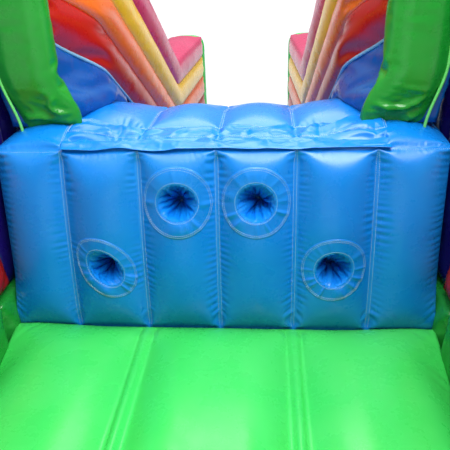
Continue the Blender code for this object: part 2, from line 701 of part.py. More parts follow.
def wheel_mesh():
    """A paddle wheel about X: straight blades round a hub."""
    outline = []
    half_blade = BLADE_THICKNESS / 2
    root = hypot(HUB_RADIUS, half_blade)
    for i in range(IMPELLER_BLADES):
        angle = 2 * pi * (i + BLADE_PHASE) / IMPELLER_BLADES
        along = Vector((cos(angle), sin(angle)))
        across = Vector((-sin(angle), cos(angle)))
        for reach, offset in ((root, -half_blade), (IMPELLER_RADIUS, -half_blade),
                              (IMPELLER_RADIUS, half_blade), (root, half_blade)):
            outline.append(tuple(along * reach + across * offset))
    return outline_mesh("impeller", [outline], IMPELLER_WIDTH)


def grille_mesh():
    """A round finger guard: ring-shaped slots between two crossed bars."""
    rim = list(arc((0.0, 0.0), GRILLE_RADIUS, 0.0, 2 * pi, 36))[:-1]
    outlines = [rim]
    rings = 3
    pitch = INLET_RADIUS / (rings + 0.5)
    bar = 0.07
    for ring in range(1, rings + 1):
        outer = pitch * (ring + 0.38)
        inner = pitch * (ring - 0.38)
        for quarter in range(4):
            start = quarter * pi / 2 + bar / ring
            stop = (quarter + 1) * pi / 2 - bar / ring
            steps = 3 + ring
            outlines.append(list(arc((0.0, 0.0), outer, start, stop, steps))
                            + list(arc((0.0, 0.0), inner, stop, start, steps)))
    return outline_mesh("inlet_grille", outlines, GRILLE_THICKNESS)


def base_and_handle(drum_y):
    seat = DRUM_RADIUS + GAP
    spread = asin(CRADLE_HALF / seat)
    steps = 12
    clear = seat / cos(spread / steps)       # keeps the chords outside the drum
    cradle = list(arc((0.0, DRUM_HEIGHT), clear, -pi / 2 - spread, -pi / 2 + spread, steps))
    foot = BASE_LENGTH / 2
    outline = [(-foot, 0.0), (-foot + FOOT_LENGTH, 0.0), (-foot + FOOT_LENGTH, FOOT_RELIEF),
               (foot - FOOT_LENGTH, FOOT_RELIEF), (foot - FOOT_LENGTH, 0.0), (foot, 0.0)]
    outline += [(foot, cradle[-1][1])] + list(reversed(cradle)) + [(-foot, cradle[0][1])]
    base = outline_mesh("blower_base", [outline], DRUM_WIDTH * 0.8)
    place("blower_base", base, BLACK_PLASTIC, (DRUM_X, drum_y, 0.0))

    top = DRUM_HEIGHT + DRUM_RADIUS + GAP
    bend = 0.02
    span = HANDLE_SPAN / 2
    points = [(-span, 0.0, 0.0)]
    points += [(-span + bend + x, 0.0, HANDLE_RISE - bend + z) for x, z in arc((0, 0), bend, pi, pi / 2, 4)]
    points += [(span - bend + x, 0.0, HANDLE_RISE - bend + z) for x, z in arc((0, 0), bend, pi / 2, 0, 4)]
    points += [(span, 0.0, 0.0)]
    place("carry_handle", tube_mesh("carry_handle", points, HANDLE_WIRE), BLACK_PLASTIC, (DRUM_X, drum_y, top))


def switch(drum_y):
    """A switch box on the side of the base, with the cord's gland and a rocker in a recess."""
    size_x, size_y, size_z = SWITCH_BOX
    box_x = DRUM_X + DRUM_WIDTH * 0.4 + GAP + size_x / 2
    box_z = FOOT_RELIEF + size_z / 2
    made = place("switch_box", box_mesh("switch_box", SWITCH_BOX), BLACK_PLASTIC, (box_x, drum_y, box_z))
    face_x = box_x + size_x / 2
    recess = cutter("rocker_recess", box_mesh("rocker_recess", (2 * ROCKER_RECESS, ROCKER_WIDTH, 2.4 * ROCKER_HALF)),
                    (face_x, drum_y, box_z))
    gland = cutter("cord_gland", rod_mesh("cord_gland", GLAND_RADIUS, 2 * GLAND_LENGTH, "y", 20),
                   (box_x, drum_y + size_y / 2, box_z))
    boolean(made, gland, "UNION")
    boolean(made, recess)

    # two flat faces that meet in a ridge on the pivot's level; the lower one is pressed in
    ridge = 0.004
    back = -0.003
    shape = [(back, -ROCKER_HALF), (ridge - ROCKER_HALF * tan(ROCKER_TILT), -ROCKER_HALF), (ridge, 0.0),
             (ridge - ROCKER_HALF * tan(ROCKER_TILT), ROCKER_HALF), (back, ROCKER_HALF)]
    lean = Matrix.Rotation(ROCKER_TILT, 2)
    outline = [tuple(lean @ Vector(point)) for point in shape]
    rocker = outline_mesh("rocker_switch", [outline], ROCKER_WIDTH - 2 * GAP, "xz")
    place("rocker_switch", rocker, RED, (face_x - ROCKER_RECESS * 0.35, drum_y, box_z))


# ---------------------------------------------------------------- the whole
bounce_floor()
front_arch()
climbing_block()
zip_and_cover()
slide_bed()
for side_sign, side_word in ((LEFT, "left"), (RIGHT, "right")):
    side_wall(side_sign, side_word)
    slide_wall(side_sign, side_word)
    anchor(side_sign, "front_" + side_word, ANCHOR_FRONT)
    anchor(side_sign, "rear_" + side_word, ANCHOR_REAR)
blower()
bpy.context.view_layer.update()
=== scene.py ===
# %% [markdown]
# # An inflatable bounce house, dressed from its measured solids
# The real thing is sewn from PVC-coated cloth and kept full by a blower. Every chamber is a
# bag of flat panels, sewn edge to edge, so air swells each panel and gathers the cloth into
# short puckers along the seams. We copy that: each panel starts flat between its seams, and
# a small cloth solver blows it up. The measured solids only say where everything is.

import json
from math import atan2, cos, pi, radians, sin, tan

import bmesh
import bpy
import numpy as np
from mathutils import Matrix, Vector

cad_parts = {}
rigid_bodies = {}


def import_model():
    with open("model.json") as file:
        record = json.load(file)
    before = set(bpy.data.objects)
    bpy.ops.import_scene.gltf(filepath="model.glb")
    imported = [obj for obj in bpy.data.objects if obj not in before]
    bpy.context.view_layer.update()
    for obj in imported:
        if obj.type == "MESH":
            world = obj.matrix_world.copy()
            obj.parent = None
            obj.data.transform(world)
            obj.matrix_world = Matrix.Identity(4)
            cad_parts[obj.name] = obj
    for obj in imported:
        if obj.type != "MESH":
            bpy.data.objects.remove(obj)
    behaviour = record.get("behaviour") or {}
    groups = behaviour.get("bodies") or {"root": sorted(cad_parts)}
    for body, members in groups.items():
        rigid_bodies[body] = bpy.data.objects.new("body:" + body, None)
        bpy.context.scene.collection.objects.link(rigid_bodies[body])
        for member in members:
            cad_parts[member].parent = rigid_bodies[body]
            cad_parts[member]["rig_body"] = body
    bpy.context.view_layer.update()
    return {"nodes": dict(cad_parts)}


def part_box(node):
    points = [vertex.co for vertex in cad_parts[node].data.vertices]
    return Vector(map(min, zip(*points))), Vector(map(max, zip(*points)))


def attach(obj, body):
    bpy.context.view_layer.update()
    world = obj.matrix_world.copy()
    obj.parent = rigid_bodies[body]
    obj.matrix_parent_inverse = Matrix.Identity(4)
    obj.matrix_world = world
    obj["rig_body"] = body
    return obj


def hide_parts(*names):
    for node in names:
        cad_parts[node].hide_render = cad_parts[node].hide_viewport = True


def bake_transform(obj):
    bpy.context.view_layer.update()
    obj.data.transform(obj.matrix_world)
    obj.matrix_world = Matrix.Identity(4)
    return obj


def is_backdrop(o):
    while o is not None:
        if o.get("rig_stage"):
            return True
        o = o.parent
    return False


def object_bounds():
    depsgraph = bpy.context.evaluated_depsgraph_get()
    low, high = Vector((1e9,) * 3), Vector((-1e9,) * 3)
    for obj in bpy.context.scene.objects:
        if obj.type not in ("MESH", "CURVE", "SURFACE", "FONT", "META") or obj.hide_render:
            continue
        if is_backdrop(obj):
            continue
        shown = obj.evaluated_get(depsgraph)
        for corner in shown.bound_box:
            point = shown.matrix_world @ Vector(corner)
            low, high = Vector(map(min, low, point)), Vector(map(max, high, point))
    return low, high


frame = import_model()

# %% [markdown]
# ## Where things are
# All places come from the boxes of the solids. "Left" is -X, the entrance is at -Y and the
# slide runs down towards +Y.

# %% Places and sizes
SIDES = (("left", -1), ("right", 1))
BLOCK_LOW, BLOCK_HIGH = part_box("climbing_block")
FLOOR_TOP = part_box("bounce_floor")[1].z
FOOT_Y = BLOCK_LOW.y                     # the block's front foot
BACK_Y = BLOCK_HIGH.y
BLOCK_HALF = BLOCK_HIGH.x
EDGE_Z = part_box("zip_track")[0].z        # the block's front edge
EDGE_Y = FOOT_Y + 0.10
BAY = 0.30                               # between the block's seams
FACE_ANGLE = atan2(EDGE_Y - FOOT_Y, EDGE_Z - FLOOR_TOP)
FRONT_LENGTH = (EDGE_Z - FLOOR_TOP) / cos(FACE_ANGLE)
print("block front", round(FRONT_LENGTH, 3), "m long, leaning back", round(FACE_ANGLE, 3), "rad")


# %% A soft step
def smoothstep(value, low, high):
    """0 up to low, 1 from high on, and a soft S between them. It fades one form into another."""
    share = np.clip((value - low) / (high - low), 0, 1)
    return share * share * (3 - 2 * share)


# %% [markdown]
# ## Materials
# Nearly everything is one cloth: a polyester scrim, calendered between two films of PVC. The
# eye gets a strong, even colour, a soft plastic gloss that breaks up in tiny waves, and,
# close up, the faint grid of the scrim. Each colour below is that cloth with other pigments.

# %% Colour and node helpers
def linear(hex_colour):
    """An sRGB hex colour as the linear numbers that a shader takes."""
    parts = [int(hex_colour[i:i + 2], 16) / 255 for i in (1, 3, 5)]
    curved = [p / 12.92 if p <= 0.04045 else ((p + 0.055) / 1.055) ** 2.4 for p in parts]
    return (*curved, 1.0)


def add(tree, kind, inputs=(), **settings):
    """Adds a node; inputs gives each socket a number, a colour or another node's output."""
    node = tree.nodes.new("ShaderNode" + kind)
    for key, value in settings.items():
        setattr(node, key, value)
    for key, value in dict(inputs).items():
        if isinstance(value, bpy.types.NodeSocket):
            tree.links.new(value, node.inputs[key])
        else:
            node.inputs[key].default_value = value
    return node


def new_material(name, roughness, ior=1.5, metallic=0.0, specular=0.5):
    """An empty material: its tree and its Principled shader, with the even values set."""
    made = bpy.data.materials.new(name)
    made.use_nodes = True
    shader = made.node_tree.nodes["Principled BSDF"]
    shader.inputs["Roughness"].default_value = roughness
    shader.inputs["Metallic"].default_value = metallic
    shader.inputs["IOR"].default_value = ior
    shader.inputs["Specular IOR Level"].default_value = specular
    return made, made.node_tree, shader


# %% PVC-coated polyester cloth
SCRIM = 0.004         # threads lie 1.3 mm apart; drawn three times as coarse so that they show
DUST_PATCHES = 2.2    # lumps per metre, as are the next three: patches some 450 mm wide
RUBBED_SPOTS = 9.0    # 110 mm, where hands and feet polish the film
FILM_WAVES = 24.0     # 40 mm, left by the rollers
FOLD_LINES = 4.5      # 220 mm apart, left by the bag it is stored in


def coated_cloth(name, colour, worn, roughness=0.27):
    """PVC-coated polyester: `worn` is the same pigment where it is rubbed and dusty."""
    made, tree, shader = new_material(name, roughness, ior=1.53)
    place = add(tree, "TexCoord").outputs["Object"]
    cloth = add(tree, "UVMap", uv_map="cloth").outputs["UV"]
    seam = add(tree, "Attribute", attribute_name="seam").outputs["Fac"]

    # wide, weak patches of dust and sun, and more of both along the seams
    patches = add(tree, "TexNoise", {"Vector": place, "Scale": DUST_PATCHES, "Detail": 5.0, "Roughness": 0.6})
    dusty = add(tree, "MapRange", {"Value": patches.outputs["Fac"], "From Min": 0.46, "From Max": 0.74})
    dust = add(tree, "Math", {0: seam, 1: 0.25, 2: dusty.outputs["Result"]}, operation="MULTIPLY_ADD")
    share = add(tree, "Math", {0: dust.outputs[0], 1: 0.40}, operation="MULTIPLY", use_clamp=True)
    tint = add(tree, "Mix", {"Factor": share.outputs[0], 6: linear(colour), 7: linear(worn)},
               data_type="RGBA")
    tree.links.new(tint.outputs[2], shader.inputs["Base Color"])

    rub = add(tree, "TexNoise", {"Vector": place, "Scale": RUBBED_SPOTS, "Detail": 6.0, "Roughness": 0.65})
    gloss = add(tree, "MapRange", {"Value": rub.outputs["Fac"], "From Min": 0.3, "From Max": 0.75,
                                   "To Min": roughness - 0.05, "To Max": roughness + 0.10})
    tree.links.new(gloss.outputs["Result"], shader.inputs["Roughness"])

    # the scrim's grid, and the small waves and folds of a film that was rolled and packed
    turned = add(tree, "Mapping", {"Vector": cloth, "Scale": (1 / SCRIM,) * 3})
    threads = [add(tree, "TexWave", {"Vector": turned.outputs[0], "Scale": 1.0 / pi}, wave_type="BANDS",
                   bands_direction=way).outputs["Fac"] for way in ("X", "Y")]
    grid = add(tree, "Math", {0: threads[0], 1: threads[1]}, operation="MAXIMUM")
    waves = add(tree, "TexNoise", {"Vector": place, "Scale": FILM_WAVES, "Detail": 3.0, "Roughness": 0.5})
    folds = add(tree, "TexVoronoi", {"Vector": place, "Scale": FOLD_LINES, "Randomness": 0.9},
                feature="DISTANCE_TO_EDGE")
    line = add(tree, "MapRange", {"Value": folds.outputs["Distance"], "From Max": 0.035})
    weave = add(tree, "Bump", {"Height": grid.outputs[0], "Strength": 0.10, "Distance": 0.0002})
    wavy = add(tree, "Bump", {"Height": waves.outputs["Fac"], "Strength": 0.30, "Distance": 0.0006,
                              "Normal": weave.outputs["Normal"]})
    folded = add(tree, "Bump", {"Height": line.outputs["Result"], "Strength": 0.20, "Distance": 0.0004,
                                "Normal": wavy.outputs["Normal"]})
    tree.links.new(folded.outputs["Normal"], shader.inputs["Normal"])
    return made


# %% The cloth's colours
BLUE_CLOTH = coated_cloth("azure_pvc_cloth", "#0680E0", "#2A96E8")            # block, slide, step
# the pockets' own blue, made a touch paler than the block's to paint the light that falls into them
POCKET_LIT_CLOTH = coated_cloth("pocket_pvc_cloth_painted_light", "#0A82E4", "#3A98E6", 0.22)   # smoother: hands polish it
# the slide walls' foot: the block's blue, darkened to paint the shade that falls on it
WALL_FOOT_SHADED_BLUE_CLOTH = coated_cloth("wall_foot_blue_pvc_cloth_painted_shade", "#0556A4", "#1E74C0")      # foot of the slide's walls
GREEN_CLOTH = coated_cloth("lime_pvc_cloth", "#3AD058", "#5CDA70")            # bounce floor
# the borders: the floor's green, darkened to paint the shade along the floor's sides
BORDER_SHADED_GREEN_CLOTH = coated_cloth("border_green_pvc_cloth_painted_shade", "#1A9032", "#3CAA4C")          # borders beside it
POST_CLOTH = coated_cloth("grass_pvc_cloth", "#149028", "#3CA848")            # posts on the block
PURPLE_CLOTH = coated_cloth("violet_pvc_cloth", "#1C0C6C", "#302090")         # pillars
RED_CLOTH = coated_cloth("red_pvc_cloth", "#B0140E", "#C43A2C")               # bumpers, rails, lowest band
ORANGE_CLOTH = coated_cloth("orange_pvc_cloth", "#F26A1E", "#F8964E")         # the other three bands
YELLOW_CLOTH = coated_cloth("yellow_pvc_cloth", "#FFD21E", "#FFE06A")
PINK_CLOTH = coated_cloth("pink_pvc_cloth", "#D8346A", "#E4688E")
print("cloths", len([m for m in bpy.data.materials if "pvc" in m.name]))

# %% [markdown]
# ### Yarn goods
# Thread, piping, webbing, net and zip tape are spun or woven from yarn. Up close the eye sees
# slanting ribs, bright on their backs and dark between, with a haze of loose fibres. A band
# pattern as wide as the real ribs gives them: it paints the light on their backs into the colour,
# as painted highlight, and raises them as a bump, and noise frays it. No image is needed.

# %% Thread, piping, webbing, netting and zip tape
def woven(name, colour, pale, pitch, roughness, depth):
    """Yarn goods: ribs `pitch` apart, whose backs are tinted pale as painted highlight and raised by a bump.
    """
    made, tree, shader = new_material(name, roughness, ior=1.5, specular=0.3)
    place = add(tree, "TexCoord").outputs["Object"]
    ribs = add(tree, "TexWave", {"Vector": place, "Scale": 1 / (pitch * pi), "Distortion": 0.6,
                                 "Detail": 2.0}, wave_type="BANDS", bands_direction="DIAGONAL")
    fuzz = add(tree, "TexNoise", {"Vector": place, "Scale": 90.0, "Detail": 4.0})      # 11 mm tufts
    both = add(tree, "Math", {0: ribs.outputs["Fac"], 1: fuzz.outputs["Fac"]}, operation="MULTIPLY")
    # the ribs' backs get the pale colour: painted highlight, broken up by the fibre haze
    tint = add(tree, "Mix", {"Factor": both.outputs[0], 6: linear(colour), 7: linear(pale)},
               data_type="RGBA")
    tree.links.new(tint.outputs[2], shader.inputs["Base Color"])
    rough = add(tree, "MapRange", {"Value": fuzz.outputs["Fac"], "To Min": roughness - 0.1,
                                   "To Max": roughness + 0.1})
    tree.links.new(rough.outputs["Result"], shader.inputs["Roughness"])
    bump = add(tree, "Bump", {"Height": both.outputs[0], "Strength": 0.5, "Distance": depth})
    tree.links.new(bump.outputs["Normal"], shader.inputs["Normal"])
    return made


# twisted polyester with a wax finish: pale, and brighter than any cloth that it crosses
THREAD = woven("bonded_polyester_thread", "#A9C8DC", "#E4F2F8", 0.0012, 0.55, 0.0002)
# cord in a folded strip of cloth: a smooth, light line along an edge
GREEN_PIPING = woven("green_piping", "#58D860", "#A6F2A4", 0.003, 0.35, 0.0002)
BLUE_PIPING = woven("pale_blue_piping", "#6FA6C4", "#B4D6E4", 0.003, 0.35, 0.0002)
# coarse, dull black ribs
WEBBING = woven("black_polypropylene_webbing", "#0C0C0E", "#34343A", 0.0016, 0.62, 0.0004)
# matt twine, nearly a plain dark line from a few metres away
NETTING = woven("black_knotted_netting", "#0A0A0C", "#2C2C32", 0.0025, 0.7, 0.0003)
# fine, dark blue-black ribs
ZIP_TAPE = woven("woven_zip_tape", "#101624", "#2C3850", 0.0010, 0.7, 0.0002)
print("yarn goods", [m.name for m in (THREAD, GREEN_PIPING, BLUE_PIPING, WEBBING, NETTING, ZIP_TAPE)])

# %% [markdown]
# ### Hard materials
# The blower's shell and switch are injection moulded, so they carry the mould's fine grit and
# pale scuffs. The rings and the slider are zinc plated and the impeller is galvanised sheet:
# they mirror their surroundings, blurred. Grit, scuffs and uneven gloss come from noise.

# %% Moulded and plated parts
def moulded(name, colour, pale, grit, roughness, depth, metallic=0.0, ior=1.5):
    """Moulded, cast or plated parts: a fine skin texture of size `grit` with light scuffs."""
    made, tree, shader = new_material(name, roughness, ior=ior, metallic=metallic)
    place = add(tree, "TexCoord").outputs["Object"]
    skin = add(tree, "TexNoise", {"Vector": place, "Scale": 1 / grit, "Detail": 3.0, "Roughness": 0.6})
    scuffs = add(tree, "TexNoise", {"Vector": place, "Scale": 28.0, "Detail": 8.0, "Roughness": 0.7,
                                    "Distortion": 0.8})                                # 36 mm marks
    worn = add(tree, "MapRange", {"Value": scuffs.outputs["Fac"], "From Min": 0.56, "From Max": 0.72})
    tint = add(tree, "Mix", {"Factor": worn.outputs["Result"], 6: linear(colour), 7: linear(pale)},
               data_type="RGBA")
    tree.links.new(tint.outputs[2], shader.inputs["Base Color"])
    rough = add(tree, "MapRange", {"Value": scuffs.outputs["Fac"], "From Min": 0.35, "From Max": 0.7,
                                   "To Min": roughness - 0.06, "To Max": roughness + 0.14})
    tree.links.new(rough.outputs["Result"], shader.inputs["Roughness"])
    bump = add(tree, "Bump", {"Height": skin.outputs["Fac"], "Strength": 0.4, "Distance": depth})
    tree.links.new(bump.outputs["Normal"], shader.inputs["Normal"])
    return made


# a waxy, even orange
BLOWER_SHELL = moulded("orange_moulded_polypropylene", "#F08A12", "#F6AE58", 0.0016, 0.42, 0.0003)
# dull charcoal with a tight grain
BLACK_SHELL = moulded("black_glass_filled_nylon", "#141416", "#3A3A3E", 0.0014, 0.50, 0.0003)
# clear-looking, glossy red
ROCKER_RED = moulded("red_polycarbonate", "#C4180F", "#DE5348", 0.0020, 0.28, 0.0001, ior=1.58)
# bright, slightly milky metal, and the greyer, spangled metal of hot-dipped sheet
ZINC = moulded("bright_zinc_plate", "#B9BDC2", "#8E9298", 0.0008, 0.26, 0.0001, metallic=1.0)
GALVANISED = moulded("galvanised_sheet", "#A4A8AC", "#C8CCD0", 0.0060, 0.38, 0.0001, metallic=1.0)
print("materials", len(bpy.data.materials))

# %% [markdown]
# ## A small cloth solver
# Blender's Cloth would do this too, but a grid of points in numpy is quicker here and gives
# the same folds each run. Every pair of neighbours wants to be as far apart as the cloth is
# long there. The held points, on the seams, never move. The cloth is cut a little longer than
# its seams, so the air lifts it between them, and the spare length runs into puckers.

# %% Two points and the cloth between them
def spans(points, axis):
    """Distance from each point to its next neighbour along one axis of the grid."""
    return np.linalg.norm(np.diff(points, axis=axis), axis=-1, keepdims=True)


def normals(points):
    """The grid's unit normal at each point."""
    square = np.cross(np.gradient(points, axis=0), np.gradient(points, axis=1))
    return square / (np.linalg.norm(square, axis=-1, keepdims=True) + 1e-12)


def bring_to_length(a, b, length, free_a, free_b, strength=1.0):
    """Stretch: moves both free points so that the cloth between them has its own length."""
    gap = b - a
    now = np.sqrt(np.einsum("...k,...k", gap, gap))[..., None] + 1e-9
    step = strength * gap * (1 - length / now) / np.maximum(free_a + free_b, 1)
    a += free_a * step
    b -= free_b * step


def keep_apart(a, b, length, free_a, free_b, strength):
    """Bending: two points that lie two steps apart are only ever pushed away from each other."""
    gap = b - a
    now = np.sqrt(np.einsum("...k,...k", gap, gap))[..., None] + 1e-9
    step = strength * gap * np.minimum(0, 1 - length / now) / 2
    a += free_a * step
    b -= free_b * step


# %% Inflate one sheet
def inflate(sheet, held, slack, push, steps=180, passes=4, stiffness=0.2, wrap=False, seed=1):
    """Blows a grid of points up. slack is the spare length along the grid's two axes, and push
    is how far the air moves the cloth in the first step, along the grid's normal. A wrapped
    grid is a tube: its first and last rows are one."""
    points = sheet.astype(float)
    points += np.random.default_rng(seed).normal(0, 0.0004, points.shape) * ~held[..., None]
    moving = np.zeros_like(points)
    free = (~held[..., None]).astype(float)
    down = spans(sheet, 0) * (1 + slack[0])
    along = spans(sheet, 1) * (1 + slack[1])
    two_down, two_along = down[1:] + down[:-1], along[:, 1:] + along[:, :-1]
    flat = np.sqrt(((down[:, 1:] + down[:, :-1]) / 2) ** 2 + ((along[1:] + along[:-1]) / 2) ** 2)
    flat /= np.sqrt(spans(sheet, 0)[:, 1:] ** 2 + spans(sheet, 1)[1:] ** 2)
    slant_one = np.linalg.norm(sheet[1:, 1:] - sheet[:-1, :-1], axis=-1, keepdims=True) * flat
    slant_two = np.linalg.norm(sheet[:-1, 1:] - sheet[1:, :-1], axis=-1, keepdims=True) * flat
    for _ in range(steps):
        moving = 0.96 * (moving + push * normals(points) * free)
        before = points
        points = points + moving
        for _ in range(passes):
            for first in (0, 1):
                a, b = points[first:-1:2], points[first + 1::2]
                bring_to_length(a[:len(b)], b, down[first::2], free[first:-1:2], free[first + 1::2])
                a, b = points[:, first:-1:2], points[:, first + 1::2]
                bring_to_length(a, b, along[:, first::2], free[:, first:-1:2], free[:, first + 1::2])
            # along both diagonals the cloth gives more easily than along its threads
            bring_to_length(points[:-1, :-1], points[1:, 1:], slant_one, free[:-1, :-1], free[1:, 1:], 0.3)
            bring_to_length(points[1:, :-1], points[:-1, 1:], slant_two, free[1:, :-1], free[:-1, 1:], 0.3)
            if stiffness:
                keep_apart(points[:-2], points[2:], two_down, free[:-2], free[2:], stiffness)
                keep_apart(points[:, :-2], points[:, 2:], two_along, free[:, :-2], free[:, 2:], stiffness)
            if wrap:
                points[0] = points[-1] = (points[0] + points[-1]) / 2
        moving = points - before
    return points


# %% [markdown]
# ### A sheet that can be asked for a place
# Patches, thread and bands are sewn onto cloth that has been blown up already, so they have to
# follow its waves. A finished sheet keeps the flat cloth's coordinates of its grid and can say
# where a place on the flat cloth has gone to. A shrinkwrap would slide the thread sideways.

# %% Ask a finished sheet for a place
class Sheet:
    """A finished grid, with the flat cloth's own coordinates along its two axes."""

    def __init__(self, points, first, second, facing=1):
        self.points, self.first, self.second = points, first, second
        self.normals = normals(points) * facing

    def at(self, u, v, lift=0.0):
        """Points `lift` above the cloth at (u, v), read between the grid's own points."""
        rows, columns = len(self.first), len(self.second)
        i = np.clip(np.interp(u, self.first, np.arange(rows)), 0, rows - 1.001)
        j = np.clip(np.interp(v, self.second, np.arange(columns)), 0, columns - 1.001)
        i0, j0 = i.astype(int), j.astype(int)
        fi, fj = (i - i0)[..., None], (j - j0)[..., None]

        def read(grid):
            near = grid[i0, j0] * (1 - fj) + grid[i0, j0 + 1] * fj
            far = grid[i0 + 1, j0] * (1 - fj) + grid[i0 + 1, j0 + 1] * fj
            return near * (1 - fi) + far * fi

        return read(self.points) + read(self.normals) * np.asarray(lift)[..., None]


# %% [markdown]
# ## From grids to pieces
# A piece is a list of panels. Panels that are sewn together share the points of their seam,
# so joining equal points closes the piece. Each panel keeps its flat cloth coordinates as a UV
# map in metres, and each point says how near a seam it is, for the dirt there.

# %% Lumps and creases
def noise(points, size, seed):
    """Smooth noise of about -1 to 1 with lumps `size` metres across."""
    rng = np.random.default_rng(seed)
    total = np.zeros(np.shape(points)[:-1])
    for _ in range(8):
        way = rng.normal(size=3)
        way *= 2 * pi / size * rng.uniform(0.6, 1.5) / np.linalg.norm(way)
        total += np.sin(np.asarray(points) @ way + rng.uniform(0, 2 * pi))
    return total / 2.6


def creases(points, size, seed):
    """Sharp little ridges, as creased cloth has: 1 on a ridge, down to 0 between them."""
    return 1 - np.clip(np.abs(noise(points, size, seed)) * 1.3, 0, 1) ** 0.9


# %% Faces and pieces
def grid_faces(rows, columns, first=0):
    """Quads between neighbouring points of a grid whose first point has the number `first`."""
    index = np.arange(rows * columns).reshape(rows, columns) + first
    return np.stack([index[:-1, :-1], index[1:, :-1], index[1:, 1:], index[:-1, 1:]], -1)


def new_piece(name, mesh, look, stands_for, slot):
    """An object that moves with the inflatable and stands in for the solids that it dresses."""
    mesh.materials.append(look)
    made = bpy.data.objects.new(name, mesh)
    bpy.context.scene.collection.objects.link(made)
    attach(made, "structure")
    if stands_for:
        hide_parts(*stands_for)
    return made


def tidied(mesh, close):
    """Drops points without faces. With close, it also closes openings and turns faces outwards."""
    bm = bmesh.new()
    bm.from_mesh(mesh)
    bmesh.ops.delete(bm, geom=[v for v in bm.verts if not v.link_faces], context="VERTS")
    if close:
        bmesh.ops.holes_fill(bm, edges=[e for e in bm.edges if e.is_boundary], sides=0)
        bmesh.ops.recalc_face_normals(bm, faces=bm.faces)
    bm.to_mesh(mesh)
    bm.free()
    mesh.shade_smooth()


# %% Sew panels together
def sewn(name, panels, look, stands_for=(), slot=None, close=True):
    """Joins panels, each (points, cloth coordinates, seam nearness, faces to keep or None)."""
    points, cloth, seam, faces, first = [], [], [], [], 0
    for grid, flat, near, keep in panels:
        rows, columns = grid.shape[:2]
        quads = grid_faces(rows, columns, first)
        faces.append(quads[keep] if keep is not None else quads.reshape(-1, 4))
        points.append(grid.reshape(-1, 3))
        cloth.append(flat.reshape(-1, 2))
        seam.append(near.reshape(-1))
        first += rows * columns
    points, cloth, seam = np.concatenate(points), np.concatenate(cloth), np.concatenate(seam)
    faces = np.concatenate(faces)

    # equal points become one, and faces that this folds flat are dropped
    _, kept, same = np.unique(np.round(points, 6), axis=0, return_index=True, return_inverse=True)
    same = same.reshape(-1)
    mesh = bpy.data.meshes.new(name)
    corners = same[faces]
    sound = np.array([len(set(quad)) == 4 for quad in corners.tolist()])
    mesh.from_pydata(points[kept].tolist(), [], corners[sound].tolist())
    mesh.uv_layers.new(name="cloth").uv.foreach_set("vector", cloth[faces[sound]].astype(np.float32).ravel())
    near = mesh.attributes.new("seam", "FLOAT", "POINT")
    near.data.foreach_set("value", seam[kept].astype(np.float32))
    tidied(mesh, close)
    return new_piece(name, mesh, look, stands_for, slot)


# %% Plain pieces, and dirt near the seams
def solid(name, points, faces, look, stands_for=(), slot=None, sharp=None):
    """A piece from plain points and faces; sharp is the angle past which an edge stays crisp."""
    mesh = bpy.data.meshes.new(name)
    mesh.from_pydata(np.asarray(points).tolist(), [], [list(f) for f in faces])
    bm = bmesh.new()
    bm.from_mesh(mesh)
    bmesh.ops.recalc_face_normals(bm, faces=bm.faces)
    bm.to_mesh(mesh)
    bm.free()
    mesh.shade_smooth()
    if sharp:
        mesh.set_sharp_from_angle(angle=radians(sharp))
    return new_piece(name, mesh, look, stands_for, slot)


def seam_nearness(held, spacing, reach=0.012):
    """1 on a held point, fading to 0 a little past `reach` metres from it."""
    steps = np.where(held, 0.0, 99.0)
    for _ in range(int(2 * reach / spacing) + 2):
        steps[1:] = np.minimum(steps[1:], steps[:-1] + 1)
        steps[:-1] = np.minimum(steps[:-1], steps[1:] + 1)
        steps[:, 1:] = np.minimum(steps[:, 1:], steps[:, :-1] + 1)
        steps[:, :-1] = np.minimum(steps[:, :-1], steps[:, 1:] + 1)
    return np.exp(-(steps * spacing / reach) ** 2)


# %% [markdown]
# ## Thread
# Seams are sewn with two rows of pale bonded thread. The rows show as broken lines, so each
# stitch is a small closed dash that follows the cloth. Dashes of one part are one piece.

# %% Read a line anywhere along its length
def lengths(line):
    """How far each point of a line lies from its start."""
    return np.concatenate([[0], np.cumsum(np.linalg.norm(np.diff(line, axis=0), axis=1))])


def read_along(values, length, where):
    """The values, known at each `length` along a line, read at other lengths."""
    return np.stack([np.interp(where, length, values[:, k]) for k in range(3)], -1)


# %% One row of stitches
STITCH, STITCH_GAP, STITCH_WIDTH = 0.0058, 0.0026, 0.0018
STITCH_RISE, STITCH_SINK = 0.0008, 0.0006      # above the cloth, and into it
ROW_APART = 0.0060
# six points round a stitch's foot, then four on its back
STITCH_FACES = ((0, 5, 4, 3, 2, 1), (0, 1, 6), (1, 2, 7, 6), (2, 3, 8, 7), (3, 4, 8), (4, 5, 9, 8),
                (5, 0, 6, 9), (6, 7, 8, 9))


def stitches(line, out):
    """Dashes along a line of points; out is the way off the cloth at each of them."""
    length = lengths(line)
    starts = np.arange(0, length[-1] - STITCH, STITCH + STITCH_GAP)
    begin, middle, end = (read_along(line, length, starts + share * STITCH) for share in (0, 0.5, 1))
    up = read_along(out, length, starts + STITCH / 2)
    up /= np.linalg.norm(up, axis=1, keepdims=True)
    side = np.cross(end - begin, up)
    side *= STITCH_WIDTH / 2 / np.linalg.norm(side, axis=1, keepdims=True)
    lift, sink = up * STITCH_RISE, -up * STITCH_SINK
    foot = [begin + side * 0.5 + sink, begin - side * 0.5 + sink, middle - side + sink,
            end - side * 0.5 + sink, end + side * 0.5 + sink, middle + side + sink]
    back = [begin * 0.85 + middle * 0.15 + lift * 0.6, middle - side * 0.5 + lift,
            end * 0.85 + middle * 0.15 + lift * 0.6, middle + side * 0.5 + lift]
    points = np.stack(foot + back, 1)
    faces = [tuple(f + 10 * k for f in face) for k in range(len(starts)) for face in STITCH_FACES]
    return points.reshape(-1, 3), faces


